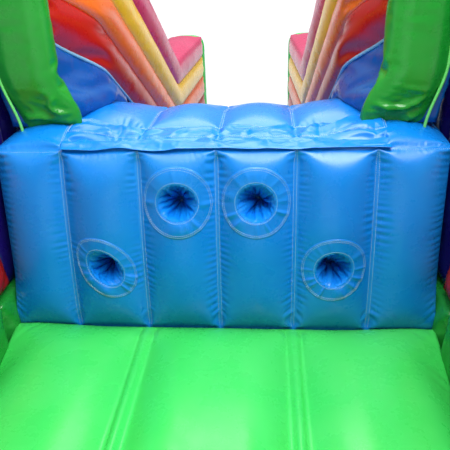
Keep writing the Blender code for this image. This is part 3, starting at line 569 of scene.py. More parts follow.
def gather(parts):
    """Several (points, faces) as one."""
    points, faces, first = [], [], 0
    for some_points, some_faces in parts:
        points.append(some_points)
        faces += [tuple(f + first for f in face) for face in some_faces]
        first += len(some_points)
    return np.concatenate(points), faces


def row_on(sheet, u, v, lift=0.0004):
    """A row of stitches on a sheet along the places (u, v)."""
    line = sheet.at(u, v, lift)
    return stitches(line, sheet.at(u, v, lift + 0.01) - line)


# %% [markdown]
# ### Tubes
# Piping, netting and the zip's coil are all round strands along a line. A curve object with a
# bevel would draw each of them. A plain mesh can hold many strands as one piece, so a ring of
# points is carried along each line and joined up.

# %% A tube along a line
def ring_ways(line):
    """Two directions square to a line at each point, carried along so that they don't twist."""
    step = np.gradient(line, axis=0)
    step /= np.linalg.norm(step, axis=1, keepdims=True)
    up, ups = np.cross(step[0], (0.31, 0.17, 0.93)), []
    for way in step:
        up = up - way * (up @ way)
        up /= np.linalg.norm(up)
        ups.append(up)
    return np.array(ups), np.cross(step, ups)


def tube(line, radius, sides=8):
    """A tube round a line of points, as points and faces, with flat ends."""
    ups, ways = ring_ways(line)
    turn = np.arange(sides) * 2 * pi / sides
    ring = radius * (np.cos(turn)[:, None] * ups[:, None] + np.sin(turn)[:, None] * ways[:, None])
    points = (line[:, None] + ring).reshape(-1, 3)
    last = (len(line) - 1) * sides
    faces = [(i + k, i + (k + 1) % sides, i + sides + (k + 1) % sides, i + sides + k)
             for i in range(0, last, sides) for k in range(sides)]
    faces += [tuple(range(sides - 1, -1, -1)), tuple(range(last, last + sides))]
    return points, faces


# %% [markdown]
# ## The camera, the light and the floor
# The eye stands in the bounce area and looks down at the block. A wide soft light overhead
# shades the front like daylight from an open top. A smaller one gives the milky highlights
# that PVC cloth shows along an edge, and a third lights the slide. The part stands on a round
# white floor, and past its rim the backdrop is bright all the way down.

# %% Camera
# a grown-up's eye height over the floor, and a stride and a half back from the block
CAMERA_AT = np.array((0.19, FOOT_Y - 1.87, FLOOR_TOP + 1.39))
PITCH, YAW, ROLL = radians(26.6), radians(-4.8), radians(-2.0)
ahead = np.array((sin(YAW) * cos(PITCH), cos(YAW) * cos(PITCH), -sin(PITCH)))
across = np.cross(ahead, (0, 0, 1))
across /= np.linalg.norm(across)
upward = np.cross(across, ahead)
across, upward = across * cos(ROLL) + upward * sin(ROLL), upward * cos(ROLL) - across * sin(ROLL)
camera = bpy.data.objects.new("camera", bpy.data.cameras.new("camera"))
camera.data.sensor_width, camera.data.lens = 36.0, 44.3
camera.data.clip_start, camera.data.clip_end = 0.05, 200.0
turned = np.stack([across, upward, -ahead], 1)
camera.matrix_world = Matrix([(*row, place) for row, place in zip(turned, CAMERA_AT)] + [(0, 0, 0, 1)])
bpy.context.scene.collection.objects.link(camera)
bpy.context.scene.camera = camera
print("eye", round(float(CAMERA_AT[2]), 2), "m above the ground")

# %% Three soft lights
def soft_light(name, place, aim, size, power):
    """A round softbox, `size` metres across, that faces the place it is aimed at."""
    lamp = bpy.data.lights.new(name, "AREA")
    lamp.shape, lamp.size, lamp.energy = "DISK", size, power
    made = bpy.data.objects.new(name, lamp)
    made.location = place
    made.rotation_euler = (Vector(aim) - Vector(place)).to_track_quat("-Z", "Y").to_euler()
    bpy.context.scene.collection.objects.link(made)


soft_light("overhead_softbox", (0.4, FOOT_Y - 0.7, 5.0), (0.0, FOOT_Y + 0.1, 0.6), 4.4, 186)
soft_light("front_edge_softbox", (0.9, FOOT_Y - 1.1, 3.1), (0.1, FOOT_Y + 0.1, 0.8), 1.7, 54)
soft_light("slide_softbox", (0.0, FOOT_Y + 4.2, 5.2), (0.0, FOOT_Y + 3.2, 0.0), 3.6, 125)
print("lights", len(bpy.data.lights))

# %% [markdown]
# ### The room
# The gloss of the cloth shows what stands round it, so the room matters as much as the lamps. A
# sky that is pale overhead and dimmer towards the horizon gives each lobe a soft gradient. The
# floor is painted board: matt, with a faint speckle, and it throws light back up.

# %% Room and studio floor
world = bpy.data.worlds.new("pale_room")
world.use_nodes = True
sky = world.node_tree
way = add(sky, "SeparateXYZ", {0: add(sky, "TexCoord").outputs["Generated"]})
walls = add(sky, "MapRange", {"Value": way.outputs["Z"], "From Min": 0.0, "From Max": 0.75,
                              "To Min": 0.26, "To Max": 0.78})
backdrop = add(sky, "MapRange", {"Value": way.outputs["Z"], "From Min": -0.05, "From Max": -0.03,
                                 "To Min": 1.15, "To Max": 0.0})
glow = add(sky, "Math", {0: walls.outputs["Result"], 1: backdrop.outputs["Result"]}, operation="MAXIMUM")
sky.links.new(glow.outputs[0], sky.nodes["Background"].inputs["Strength"])
sky.nodes["Background"].inputs["Color"].default_value = linear("#FAFCFF")
bpy.context.scene.world = world
bpy.context.scene.view_settings.view_transform = "Standard"

FLOOR_REACH, TURNS = 3.9, 96
rim = [(FLOOR_REACH * cos(2 * pi * k / TURNS), FLOOR_REACH * sin(2 * pi * k / TURNS), -0.001)
       for k in range(TURNS)]
floor_mesh = bpy.data.meshes.new("studio_floor")
floor_mesh.from_pydata(rim, [], [tuple(range(TURNS))])
studio_floor = bpy.data.objects.new("studio_floor", floor_mesh)
bpy.context.scene.collection.objects.link(studio_floor)
paint, paint_tree, paint_shader = new_material("matt_white_floor_paint", 0.75)
speckle = add(paint_tree, "TexNoise", {"Scale": 30.0, "Detail": 4.0})
pale = add(paint_tree, "Mix", {"Factor": speckle.outputs["Fac"], 6: linear("#F2F2F2"), 7: linear("#F8F8F8")},
           data_type="RGBA")
paint_tree.links.new(pale.outputs[2], paint_shader.inputs["Base Color"])
floor_mesh.materials.append(paint)
studio_floor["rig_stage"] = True
print("studio floor", 2 * FLOOR_REACH, "m across")

# %% [markdown]
# ## The climbing block
# One cover runs up the sloping front, over a sewn edge and back along the top. Five seams,
# 0.30 m apart, hold it to baffles inside, so it stands in six bays. The four mouths are held
# by their pocket liners, and the zip's tape keeps a strip behind the front edge flat. We make
# the cover as one fine grid of x and s, the way along the cloth from the foot.

# %% What the cover is cut to
GRID = 0.0053
CORNER = 0.075                 # the outer strip that turns the corner
SEAM_TUCK = 0.010              # how far a baffle pulls its seam in
TOP_SWELL, OUTER_SWELL = 0.010, 0.044        # air lifts the top, and most of all its outer bays
FRONT_SWELL = 0.014            # and it bows the front out, halfway up
CORNER_BACK, CORNER_SINK, CORNER_IN = 0.036, 0.010, 0.008    # where the outer strip is drawn to
BACK_FALL = 0.034              # the back edge is rounded
ZIP_LOW, ZIP_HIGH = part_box("zip_track")
ZIP_Y = (ZIP_LOW.y + ZIP_HIGH.y) / 2
TAPE_HALF = 0.020              # the zip's tape keeps this much cloth flat on each side of it
FLAP_LEFT, FLAP_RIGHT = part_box("zip_cover_flap")[0].x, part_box("zip_cover_flap")[1].x
BAND_FRONT, BAND_BACK = 0.090, 0.232         # the sewn band, behind the block's front edge
TOP_LENGTH = BACK_Y - EDGE_Y
EDGE_PULL = np.array((0, 0.007, -0.005))     # the sewn front edge is drawn in
FOOT_TUCK = np.array((0, 0.008, -0.030))     # and the foot is tucked under
MOUTH = 0.080                  # radius of a pocket's mouth
SKIN_HOLE = MOUTH - 0.001      # the hole in the cover lies just inside it
HOLDS = {}
for hold in ("upper_left", "upper_right", "lower_left", "lower_right"):
    low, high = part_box("hold_patch_" + hold)
    HOLDS[hold] = ((low.x + high.x) / 2, ((low.z + high.z) / 2 - FLOOR_TOP) / cos(FACE_ANGLE))
print({hold: tuple(round(v, 3) for v in place) for hold, place in HOLDS.items()})

# %% How the mouths are pulled
# the swollen bays pull each round mouth and patch: across, along, and over to one side
MOUTH_PULL = {"upper_left": (0.98, 0.93, 0.0), "upper_right": (0.94, 0.95, 0.0),
              "lower_left": (0.84, 0.97, 0.28), "lower_right": (0.90, 0.93, -0.06)}
PATCH_PULL = {"upper_left": (1.04, 1.02, 0.0), "upper_right": (1.02, 1.00, 0.0),
              "lower_left": (0.88, 0.95, 0.28), "lower_right": (0.96, 0.96, -0.06)}


def mouth_distance(hold, x, s):
    """Distance on the cover from the middle of a mouth, as if the mouth were still round."""
    wide, high, over = MOUTH_PULL[hold]
    across, along = x - HOLDS[hold][0], (s - HOLDS[hold][1]) / high
    return np.hypot((across + over * along) / wide, along)


# %% The cover before the air comes in
def corner_share(x):
    """0 on the block's flat part, rising to 1 on its two sides."""
    return np.clip((np.abs(x) - (BLOCK_HALF - CORNER)) / CORNER, 0, 1)


def swollen_top(x, y):
    """Height of the block's cover on its top: what stands there follows it. Its back edge is
    rounded down to the slide, and the outer bays, which nothing pulls down, stand highest."""
    share = np.clip((y - EDGE_Y) / (BACK_Y - EDGE_Y), 0, 1)
    outer = np.clip((np.abs(x) - 1.3 * BAY) / (BLOCK_HALF - 1.3 * BAY), 0, 1)
    along = smoothstep(share, -0.06, 0.20) * (1 - smoothstep(share, 0.70, 1.0))
    lift = TOP_SWELL * np.sin(pi * share) ** 0.8 + OUTER_SWELL * along * np.sin(pi * outer) ** 1.3
    fall = BACK_FALL * smoothstep(share, 0.62, 1.0)
    return EDGE_Z + lift - fall - CORNER_SINK * corner_share(x) ** 2


def block_rest(x, s):
    """The place of each point of the cover, at x and at s from the foot."""
    rise, back = np.clip(s, 0, FRONT_LENGTH), np.clip(s - FRONT_LENGTH, 0, None)
    halfway = np.sin(pi * np.clip(s / FRONT_LENGTH, 0, 1))
    y = FOOT_Y + rise * sin(FACE_ANGLE) + back
    z = np.where(back > 0, swollen_top(x, EDGE_Y + back), FLOOR_TOP + rise * cos(FACE_ANGLE))
    outer = corner_share(x) ** 2
    on_front = 1 - smoothstep(s, FRONT_LENGTH - 0.10, FRONT_LENGTH + 0.10)
    on_front = on_front * smoothstep(s, 0.0, 0.22)
    y = y + outer * CORNER_BACK * on_front - FRONT_SWELL * halfway
    z = z - outer * CORNER_SINK * (back <= 0) * (1 - on_front)
    return np.stack([x - np.sign(x) * outer * CORNER_IN * halfway, y, z], -1)


# %% [markdown]
# ### Tying the cover down
# Now the seams: five of them are pulled in by their baffles, the front edge is sewn, and the
# zip's tape and the band each keep a line or a strip flat. These points are held, as the
# cover's four rims are. What lies between them is free for the air to lift.

# %% Which points are held
def tie_cover(x, s):
    """The cover with its seams pulled in, and which of its points are held."""
    rest = block_rest(x, s)
    half_x, half_s = 0.51 * (x[1, 0] - x[0, 0]), 0.51 * (s[0, 1] - s[0, 0])
    on_seam = np.zeros(x.shape, bool)
    for k in range(-2, 3):
        on_seam |= np.abs(x - k * BAY) < half_x
    edge = s == FRONT_LENGTH
    inward = np.stack([np.zeros_like(x), np.where(s < FRONT_LENGTH, cos(FACE_ANGLE), 0.0),
                       np.where(s > FRONT_LENGTH, -0.6, 0.0)], -1)
    tuck = np.where((s > FRONT_LENGTH) & (np.abs(x) > 1.5 * BAY), 0.3, 1.0) * SEAM_TUCK
    rest += inward * (tuck * smoothstep(np.abs(s - FRONT_LENGTH), 0.0, 0.06) * on_seam)[..., None]
    rest[edge] += EDGE_PULL
    rest += (1 - smoothstep(s, 0.0, 0.05))[..., None] * FOOT_TUCK
    banded = (x > FLAP_LEFT) & (x < FLAP_RIGHT) & (np.abs(s - FRONT_LENGTH - BAND_BACK) < half_s)
    taped = (np.abs(rest[..., 1] - ZIP_Y) < TAPE_HALF) & (s > FRONT_LENGTH)
    taped &= (x > ZIP_LOW.x) & (x < ZIP_HIGH.x)
    rest[taped, 2] = EDGE_Z - 0.0006
    held = on_seam | edge | taped | banded
    held[0] = held[-1] = True
    held[:, 0] = held[:, -1] = True
    return rest, held


# %% How much longer the cloth is than its seams
def spare_cloth(x, s, rest):
    """Spare shares across and along. The seamster gathers cloth beside each seam, the top is
    tighter than the front, and where a patch doubles the cloth it hardly gathers."""
    top = smoothstep(s, FRONT_LENGTH - 0.02, FRONT_LENGTH + 0.05)
    uneven = np.clip(0.5 + 1.2 * noise(rest, 0.22, 5), 0.0, 2.4)
    from_seam = np.where(np.abs(x) < 2.5 * BAY, np.abs((x + BAY / 2) % BAY - BAY / 2), 1.0)
    beside = np.exp(-(from_seam / 0.042) ** 2) + 0.3 * np.exp(-((BLOCK_HALF - np.abs(x)) / 0.06) ** 2)
    bulging = 0.15 + 0.85 * smoothstep(s, 0.0, 0.16)
    bulging = bulging * (0.4 + 0.6 * smoothstep(np.abs(s - FRONT_LENGTH), 0, 0.11))
    spare_x = (1 - top) * 0.034 * bulging * (0.7 + 0.3 * uneven) + top * 0.004
    spare_s = (1 - top) * (0.012 + 0.023 * beside * uneven) + top * (0.003 + 0.008 * beside * uneven)
    doubled = np.ones(x.shape)
    for hold in HOLDS:
        doubled *= 0.45 + 0.55 * smoothstep(mouth_distance(hold, x, s), 0.105, 0.150)
    push = (1.5e-5 - 0.8e-5 * top)[..., None]
    return (spare_x * doubled)[:-1, :, None], (spare_s * doubled)[:, :-1, None], push


# %% Blow the cover up
xs = np.linspace(-BLOCK_HALF, BLOCK_HALF, 2 * round(BLOCK_HALF / GRID) + 1)
ss = np.linspace(0, FRONT_LENGTH + TOP_LENGTH, round((FRONT_LENGTH + TOP_LENGTH) / GRID))
ss[np.abs(ss - FRONT_LENGTH).argmin()] = FRONT_LENGTH        # one row lies on the front edge
across_grid, along_grid = np.meshgrid(xs, ss, indexing="ij")
cover_rest, cover_held = tie_cover(across_grid, along_grid)
spare_across, spare_along, air = spare_cloth(across_grid, along_grid, cover_rest)
cover = Sheet(inflate(cover_rest, cover_held, (spare_across, spare_along), air, steps=220, stiffness=0.16,
                      seed=11), xs, ss)
print("cover", cover.points.shape, "furthest forward", round(float(cover.points[..., 1].min() - FOOT_Y), 3))

# %% [markdown]
# ### Closing the block
# The cover alone is a bent sheet. The block also has a back, a bottom and two ends, which nobody
# sees, so flat cloth does: one more row of points at the ground in front and behind, and a face
# across each end. The four mouths stay open for their pockets.

# %% Close the block round its cover
def block_piece():
    """The whole block as one piece."""
    in_mouth = np.zeros(across_grid.shape, bool)
    for hold in HOLDS:
        in_mouth |= mouth_distance(hold, across_grid, along_grid) < SKIN_HOLE
    keep = ~(in_mouth[:-1, :-1] & in_mouth[1:, 1:] & in_mouth[1:, :-1] & in_mouth[:-1, 1:])
    ground = np.array((1.0, 1.0, 0.0))
    front, back = cover.points[:, :1] * ground, cover.points[:, -1:] * ground
    points = np.concatenate([front, cover.points, back, front], 1)
    flat = np.stack([across_grid, along_grid], -1)
    flat = np.concatenate([flat[:, :1], flat, flat[:, -1:], flat[:, -1:]], 1)
    near = seam_nearness(cover_held & ~in_mouth, GRID)
    near = np.concatenate([near[:, :1], near, near[:, -1:], near[:, -1:]], 1)
    whole = np.ones((len(keep), 1), bool)
    keep = np.concatenate([whole, keep, whole, whole], 1)
    made = sewn("block_cover", [(points, flat, near, keep)], BLUE_CLOTH, ["climbing_block"], "blue_vinyl",
                close=False)
    bm = bmesh.new()
    bm.from_mesh(made.data)
    ends = [e for e in bm.edges if e.is_boundary and abs(e.verts[0].co.x) > BLOCK_HALF - 0.03]
    bmesh.ops.holes_fill(bm, edges=ends, sides=0)
    bmesh.ops.recalc_face_normals(bm, faces=bm.faces)
    bm.to_mesh(made.data)
    bm.free()
    return made


block = block_piece()
print("block faces", len(block.data.polygons))

# %% [markdown]
# ## Hold pockets
# Each mouth has a ring-shaped patch, sewn on twice round its rim and once round the mouth, and
# a cone of cloth inside. A patch is a second layer of the same cloth. It is as long as the
# cover under it was before the bays swelled, so it wrinkles outwards from the mouth. Its rings
# are read off the cover, a patch's thickness above it.

# %% Ring patches
PATCH, PATCH_THICK, PATCH_WRINKLE = 0.135, 0.0014, 0.0085
PATCH_ROWS = np.array((0.0765, 0.0770, MOUTH, 0.086, 0.094, 0.100, 0.106, 0.112, 0.118, 0.124, 0.129, 0.133,
                       PATCH, PATCH + 0.0006))
# the inner edge turns down into the mouth, and the outer one lies sewn to the cover
PATCH_LIFT = np.array((-0.006, -0.0006, 0.0012, *[PATCH_THICK] * 9, 0.0010, -0.0012))
INTO_BLOCK = np.array((0.0, cos(FACE_ANGLE), -sin(FACE_ANGLE)))
UP_FACE = np.array((0.0, sin(FACE_ANGLE), cos(FACE_ANGLE)))


def ring_places(hold, radius, steps=144):
    """(u, v) on the cover all round a mouth."""
    turn = np.linspace(0, 2 * pi, steps + 1)
    share = min(1, max(0, (radius - MOUTH) / (PATCH - MOUTH)))
    wide, high, over = (1 - share) * np.array(MOUTH_PULL[hold]) + share * np.array(PATCH_PULL[hold])
    across = radius * (wide * np.cos(turn) - over * np.sin(turn))
    return HOLDS[hold][0] + across, HOLDS[hold][1] + high * radius * np.sin(turn)


def ring_patch(hold, seed):
    """One patch, with most of its wrinkles on its lower side."""
    turn = np.linspace(0, 2 * pi, 145)
    circle = np.stack([np.cos(turn), np.sin(turn), 0 * turn], -1)
    lower = 0.35 + 0.65 * smoothstep(-np.sin(turn), -0.3, 0.6)
    ridge = creases(circle * MOUTH, 0.055, seed) ** 1.5 * lower
    ridge[-1] = ridge[0]
    between = np.sin(pi * np.clip((PATCH_ROWS - MOUTH) / (PATCH - MOUTH), 0, 1)) ** 0.8
    grid = np.stack([cover.at(*ring_places(hold, r), lift + PATCH_WRINKLE * ridge * wave)
                     for r, lift, wave in zip(PATCH_ROWS, PATCH_LIFT, between)], 1)
    flat = np.stack([np.stack(ring_places(hold, r), -1) for r in PATCH_ROWS], 1)
    near = np.broadcast_to(np.exp(-((PATCH_ROWS - PATCH) / 0.004) ** 2), grid.shape[:2])
    made = sewn("ring_patch_" + hold, [(grid, flat, near, None)], BLUE_CLOTH, ["hold_patch_" + hold],
                "blue_vinyl", close=False)
    return Sheet(grid, turn, PATCH_ROWS, facing=-1)


patches = {hold: ring_patch(hold, 40 + number) for number, hold in enumerate(HOLDS)}
print("patches", len(patches))

# %% [markdown]
# ### The cones
# A pocket is deep enough for a hand or the front of a foot. The air in the block presses on it
# from all round, so it crumples into folds that run to its small puckered tip, and it sags a
# little. We give the cone its long folds first and let the solver round them, because air alone
# would crumple the cone differently at every small change.

# %% Pocket cones
CONE_DEPTH, CONE_END, CONE_RIM = 0.175, 0.022, MOUTH - 0.003
CONE_SAG, CONE_DRIFT = 0.028, 0.015          # how far the tip hangs, and leans to either side
LONG_FOLD, SMALL_FOLD = 0.026, 0.006


def pocket_cone(hold, seed):
    """One pocket, from its rim under the ring patch to its tip."""
    rng = np.random.default_rng(seed)
    turn = np.linspace(0, 2 * pi, 121)
    deep = np.linspace(0, 1, 40)
    radius = np.concatenate([CONE_RIM + (CONE_END - MOUTH) * deep, CONE_END * np.array((0.7, 0.4, 0.1))])
    depth = np.concatenate([CONE_DEPTH * deep, np.full(3, CONE_DEPTH + 0.002)])
    share = np.clip(depth / CONE_DEPTH, 0, 1)
    spin, r = np.meshgrid(turn, radius, indexing="ij")
    rim = cover.at(*ring_places(hold, CONE_RIM, steps=120), -0.0012)
    middle = rim[:-1].mean(0)

    # air outside pushes the cloth in: folds run lengthwise, and they deepen towards the tip
    circle = np.stack([np.cos(spin), np.sin(spin), 0.25 * share + 0 * spin], -1) * MOUTH
    folds = LONG_FOLD * creases(circle, 0.120, seed) ** 1.3 + SMALL_FOLD * creases(circle, 0.050, seed + 1)
    r = r - folds * smoothstep(share, 0.02, 0.5) * (1 - 0.5 * share)
    drift = share ** 1.5
    lean = rng.uniform(-CONE_DRIFT, CONE_DRIFT)
    rest = (middle + (r * np.cos(spin) + lean * drift)[..., None] * np.array((1.0, 0, 0))
            + (r * np.sin(spin) - CONE_SAG * drift)[..., None] * UP_FACE + depth[:, None] * INTO_BLOCK)
    fade = np.exp(-(depth / 0.02) ** 2)[:, None]
    rest += (rim - rest[:, 0])[:, None] * fade
    held = np.zeros(spin.shape, bool)
    held[:, :2] = held[:, -2:] = True
    points = inflate(rest, held, (0.012, 0.010), 2.0e-5, steps=40, stiffness=0.10, wrap=True, seed=seed)
    flat = np.stack([spin * MOUTH, np.broadcast_to(depth, spin.shape)], -1)
    # the cone is drawn in the paler pocket blue, partly painted light
    made = sewn("pocket_cone_" + hold, [(points, flat, seam_nearness(held, 0.005), None)], POCKET_LIT_CLOTH,
                ["hold_pocket_" + hold], "pocket_vinyl", close=False)


for number, hold in enumerate(HOLDS):
    pocket_cone(hold, 30 + number)
print("cones", CONE_DEPTH, "m deep")

# %% [markdown]
# ## The deflation zip and its cover
# A long zip lets the air out at the end of the day. A band, sewn down on all sides, holds the
# back edge of a flap that hangs over the zip and hides it. Both are single cloth, creased from
# being folded. The band's creases are laid on the finished cover as a height, fading to nothing
# at its sewn edges, where short gathers take over.

# %% The sewn band
def rim_fade(values, width):
    """0 on the rim of a strip, 1 from `width` inside it."""
    return smoothstep(np.minimum(values - values.min(), values.max() - values), 0, width)


CREASE, FINE_CREASE, GATHERS = 0.0150, 0.0030, 0.0022


def zip_band():
    """The band behind the zip, crumpled inside its sewn edges."""
    u = np.linspace(FLAP_LEFT, FLAP_RIGHT, 260)
    v = FRONT_LENGTH + np.linspace(BAND_FRONT, BAND_BACK, 34)
    x, s = np.meshgrid(u, v, indexing="ij")
    inside = rim_fade(x, 0.02) * rim_fade(s, 0.022)
    at = np.stack([x, s * 1.3, 0 * x], -1)
    crumple = CREASE * creases(at, 0.19, 3) + FINE_CREASE * creases(at * (1, 0.5, 1), 0.09, 4)
    gathered = GATHERS * np.abs(np.sin(x / 0.011 + 2 * noise(at, 0.12, 9)))
    lift = 0.0012 + crumple * inside + gathered * (1 - inside) * rim_fade(s, 0.004)
    grid = cover.at(x, s, lift)
    edge = np.zeros(x.shape, bool)
    edge[0] = edge[-1] = True
    edge[:, 0] = edge[:, -1] = True
    grid[edge] = cover.at(x, s, np.full_like(x, -0.0008))[edge]
    flat = np.stack([x, s], -1)
    made = sewn("zip_band", [(grid, flat, seam_nearness(edge, 0.005), None)], BLUE_CLOTH, slot="blue_vinyl",
                close=False)
    return Sheet(grid, u, v)


band = zip_band()
print("band", round(FLAP_RIGHT - FLAP_LEFT, 3), "by", round(BAND_BACK - BAND_FRONT, 3), "m")

# %% [markdown]
# ### The loose flap
# The flap is free on three sides, so its front edge waves and hangs over the block's. It is
# pinched where the block's own seams pass under it. It is made where it lies, on no body of the
# rig.

# %% The flap's shape
COVER_LOW, COVER_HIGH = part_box("zip_cover_flap")
HINGE_Y, HINGE_Z = EDGE_Y + 0.10, EDGE_Z + 0.0018
FLAP_TOP_Z = COVER_HIGH.z
FLAP_LENGTH, FLAP_HEM, FLAP_THICK = 0.112, 0.06, 0.0012      # the hem is a share of the length


def flap_points(u, share):
    """Over the flap, share 0 on its stitch line and 1 on its free edge."""
    y = HINGE_Y + (COVER_LOW.y - HINGE_Y) * share
    at, along = np.stack([u, y * 1.4, 0 * u], -1), np.stack([u, 0 * u, 0 * u], -1)
    rise = (FLAP_TOP_Z - HINGE_Z - 0.001) * smoothstep(share, 0.0, 0.45)
    fold = 0.0130 * creases(at, 0.19, 21) + 0.0030 * creases(at, 0.09, 22)
    wave = 0.0035 * noise(along, 0.22, 23) * share ** 2
    pinch = sum(np.exp(-((u - k * BAY) / 0.016) ** 2) for k in range(-1, 2))
    free = smoothstep(share, 0, 0.2) * (1 - 0.75 * smoothstep(share, 0.7, 1))
    lift = np.maximum(rise + (fold + wave) * free - 0.004 * pinch * share, rise - 0.0006)
    hang = (0.0075 + 0.0030 * noise(along, 0.15, 24)) * smoothstep(share, 0.62, 1.0)
    out = 0.004 * noise(along, 0.19, 25) * share ** 2
    return np.stack([u, y + out, HINGE_Z + lift - hang], -1)


# %% Sew the flap on
def loose_flap():
    """The flap with its back hem under the band, taken off the rig and left where it lies."""
    us = np.linspace(FLAP_LEFT, FLAP_RIGHT, 300)
    shares = np.linspace(-FLAP_HEM, 1, 30)
    u, share = np.meshgrid(us, shares, indexing="ij")
    over = flap_points(u, np.clip(share, 0, 1))
    over[..., 1] = np.where(share < 0, HINGE_Y - share * FLAP_LENGTH, over[..., 1])
    under = over - np.array((0, 0, FLAP_THICK))
    flat = np.stack([u, share * FLAP_LENGTH], -1)
    near = np.broadcast_to(np.exp(-((shares - 1) / 0.05) ** 2), u.shape)
    grid = np.concatenate([over, under[:, ::-1], over[:, :1]], 1)
    flat = np.concatenate([flat, flat[:, ::-1], flat[:, :1]], 1)
    near = np.concatenate([near, near[:, ::-1], near[:, :1]], 1)
    made = sewn("zip_flap", [(grid, flat, near, None)], BLUE_CLOTH, ["zip_cover_flap"], "blue_vinyl")
    made.parent = None
    del made["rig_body"]
    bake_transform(made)


loose_flap()

# %% [markdown]
# ### The zip
# A coil zip: two woven tapes and, down the middle, a plastic wire wound like a spring. Only a
# lifted flap shows it. Each tape is a thin strip and the coil is a tube along a helix, flattened
# as a real coil is.

# %% Tapes
TAPE_THICK, TAPES_APART = 0.0009, 0.0032
BOX_FACES = ((0, 1, 3, 2), (4, 6, 7, 5), (0, 4, 5, 1), (2, 3, 7, 6), (0, 2, 6, 4), (1, 5, 7, 3))
tapes = []
for side in (-1, 1):
    outer, inner = ZIP_Y + side * (ZIP_HIGH.y - ZIP_LOW.y) / 2, ZIP_Y + side * TAPES_APART / 2
    corners = [(x, y, z) for x in (ZIP_LOW.x, ZIP_HIGH.x) for y in (outer, inner)
               for z in (ZIP_LOW.z, ZIP_LOW.z + TAPE_THICK)]
    tapes.append((np.array(corners), BOX_FACES))
solid("zip_tapes", *gather(tapes), ZIP_TAPE, ["zip_track"], "zip_tape")
print("zip", round(ZIP_HIGH.x - ZIP_LOW.x, 3), "m long")

# %% Coil
COIL_PITCH, COIL_HALF, COIL_WIRE = 0.0030, 0.0030, 0.0004
eighth = np.arange(int((ZIP_HIGH.x - ZIP_LOW.x) / COIL_PITCH) * 8)
coil = np.stack([ZIP_LOW.x + eighth * COIL_PITCH / 8, ZIP_Y + COIL_HALF * np.cos(eighth * pi / 4),
                 ZIP_LOW.z + 0.0012 + 0.0006 * np.sin(eighth * pi / 4)], -1)
solid("zip_coil", *tube(coil, COIL_WIRE, 4), BLACK_SHELL, slot="zip_tape")
print("turns of the coil", len(eighth) // 8)

# %% [markdown]
# ### The block's thread
# Two rows run beside each seam of the cover, two round each patch's rim, one round its mouth,
# and more along the band. All of it lies on sheets that are finished by now, so each row only
# says where it runs on the flat cloth.

# %% Thread on the block
def block_thread():
    """Every row of stitches on the block, as one piece."""
    rows = []
    half = ROW_APART / 2
    for k in range(-2, 3):
        for side in (-half, half):
            s = np.linspace(0.004, FRONT_LENGTH - 0.004, 150)
            rows.append(row_on(cover, np.full_like(s, k * BAY + side), s))
            start = FRONT_LENGTH + (BAND_BACK if FLAP_LEFT < k * BAY + side < FLAP_RIGHT else 0) + 0.004
            s = np.linspace(start, cover.second[-1] - 0.01, 130)
            rows.append(row_on(cover, np.full_like(s, k * BAY + side), s))
    for hold in HOLDS:
        for radius in (PATCH - 0.005, PATCH - 0.011, MOUTH + 0.003):
            rows.append(row_on(patches[hold], patches[hold].first, np.full(145, radius), 0.0002))
    for s in (BAND_FRONT + 0.005, BAND_BACK - 0.005, BAND_BACK - 0.012):
        u = np.linspace(FLAP_LEFT + 0.005, FLAP_RIGHT - 0.005, 400)
        rows.append(row_on(band, u, np.full_like(u, FRONT_LENGTH + s)))
    for u in (FLAP_LEFT + 0.006, FLAP_RIGHT - 0.006, FLAP_RIGHT - 0.013):
        s = FRONT_LENGTH + np.linspace(BAND_FRONT + 0.005, BAND_BACK - 0.005, 30)
        rows.append(row_on(band, np.full_like(s, u), s))
    for begin, end in ((-BLOCK_HALF + 0.01, FLAP_LEFT), (FLAP_RIGHT, BLOCK_HALF - 0.01)):
        u = np.linspace(begin, end, 60)
        rows.append(row_on(cover, u, np.full_like(u, FRONT_LENGTH - 0.006)))
    made = solid("block_thread", *gather(rows), THREAD, sharp=30)
    print("stitches on the block", len(made.data.vertices) // 10)


block_thread()

# %% [markdown]
# ## Air chambers
# Borders, pillars, walls and posts are all bags of six panels, with baffles tied across
# inside. One function makes them: it lays out the six panels between their seams, a little
# inside the measured solid, and blows each of them up. Faces that lie on a neighbour can't
# swell, so they stay as they are cut.

# %% Where a bag's seams run
GROOVE = 0.003                 # half the width of the groove that a baffle's seam pulls in


def evenly(letter, count):
    """`count` baffles, evenly spaced along a, b or c."""
    return [(letter, k / (count + 1)) for k in range(1, count + 1)]


def panel_lines(where, baffles, snug, step, inset):
    """The grid lines of a bag, as shares along a, b and c, and how far apart its seams are."""
    lines, gaps = [], []
    for axis, letter in enumerate("abc"):
        ends = [np.where(np.arange(3) == axis, end, 0.5) for end in (0.0, 1.0)]
        size = np.linalg.norm(where(*ends[1]) - where(*ends[0]))
        low, high = (0 if letter + end in snug else inset / size for end in "01")
        line, near = np.linspace(low, 1 - high, max(4, round(size / step)) + 1), GROOVE / size
        ties = [share for tied, share in baffles if tied == letter]
        for share in ties:
            apart = np.abs(line - share) > 2 * near
            line = np.concatenate([line[apart], [share - near, share, share + near]])
        lines.append(np.sort(line))
        gaps.append(size / (1 + len(ties)))
    return lines, gaps


# %% One face of a bag
def flat_coordinates(grid):
    """How far each point of a grid lies along the flat cloth, both ways."""
    first = np.concatenate([[0], np.cumsum(spans(grid[:, grid.shape[1] // 2], 0)[:, 0])])
    second = np.concatenate([[0], np.cumsum(spans(grid[grid.shape[0] // 2], 0)[:, 0])])
    return np.stack(np.meshgrid(first, second, indexing="ij"), -1)


def face_grid(where, lines, axis, end):
    """The flat panel where a, b or c is at its low (0) or high (1) end."""
    one, two = [k for k in range(3) if k != axis]
    shares = [None] * 3
    shares[one], shares[two] = np.meshgrid(lines[one], lines[two], indexing="ij")
    shares[axis] = np.full_like(shares[one], lines[axis][-end])
    return where(*shares)


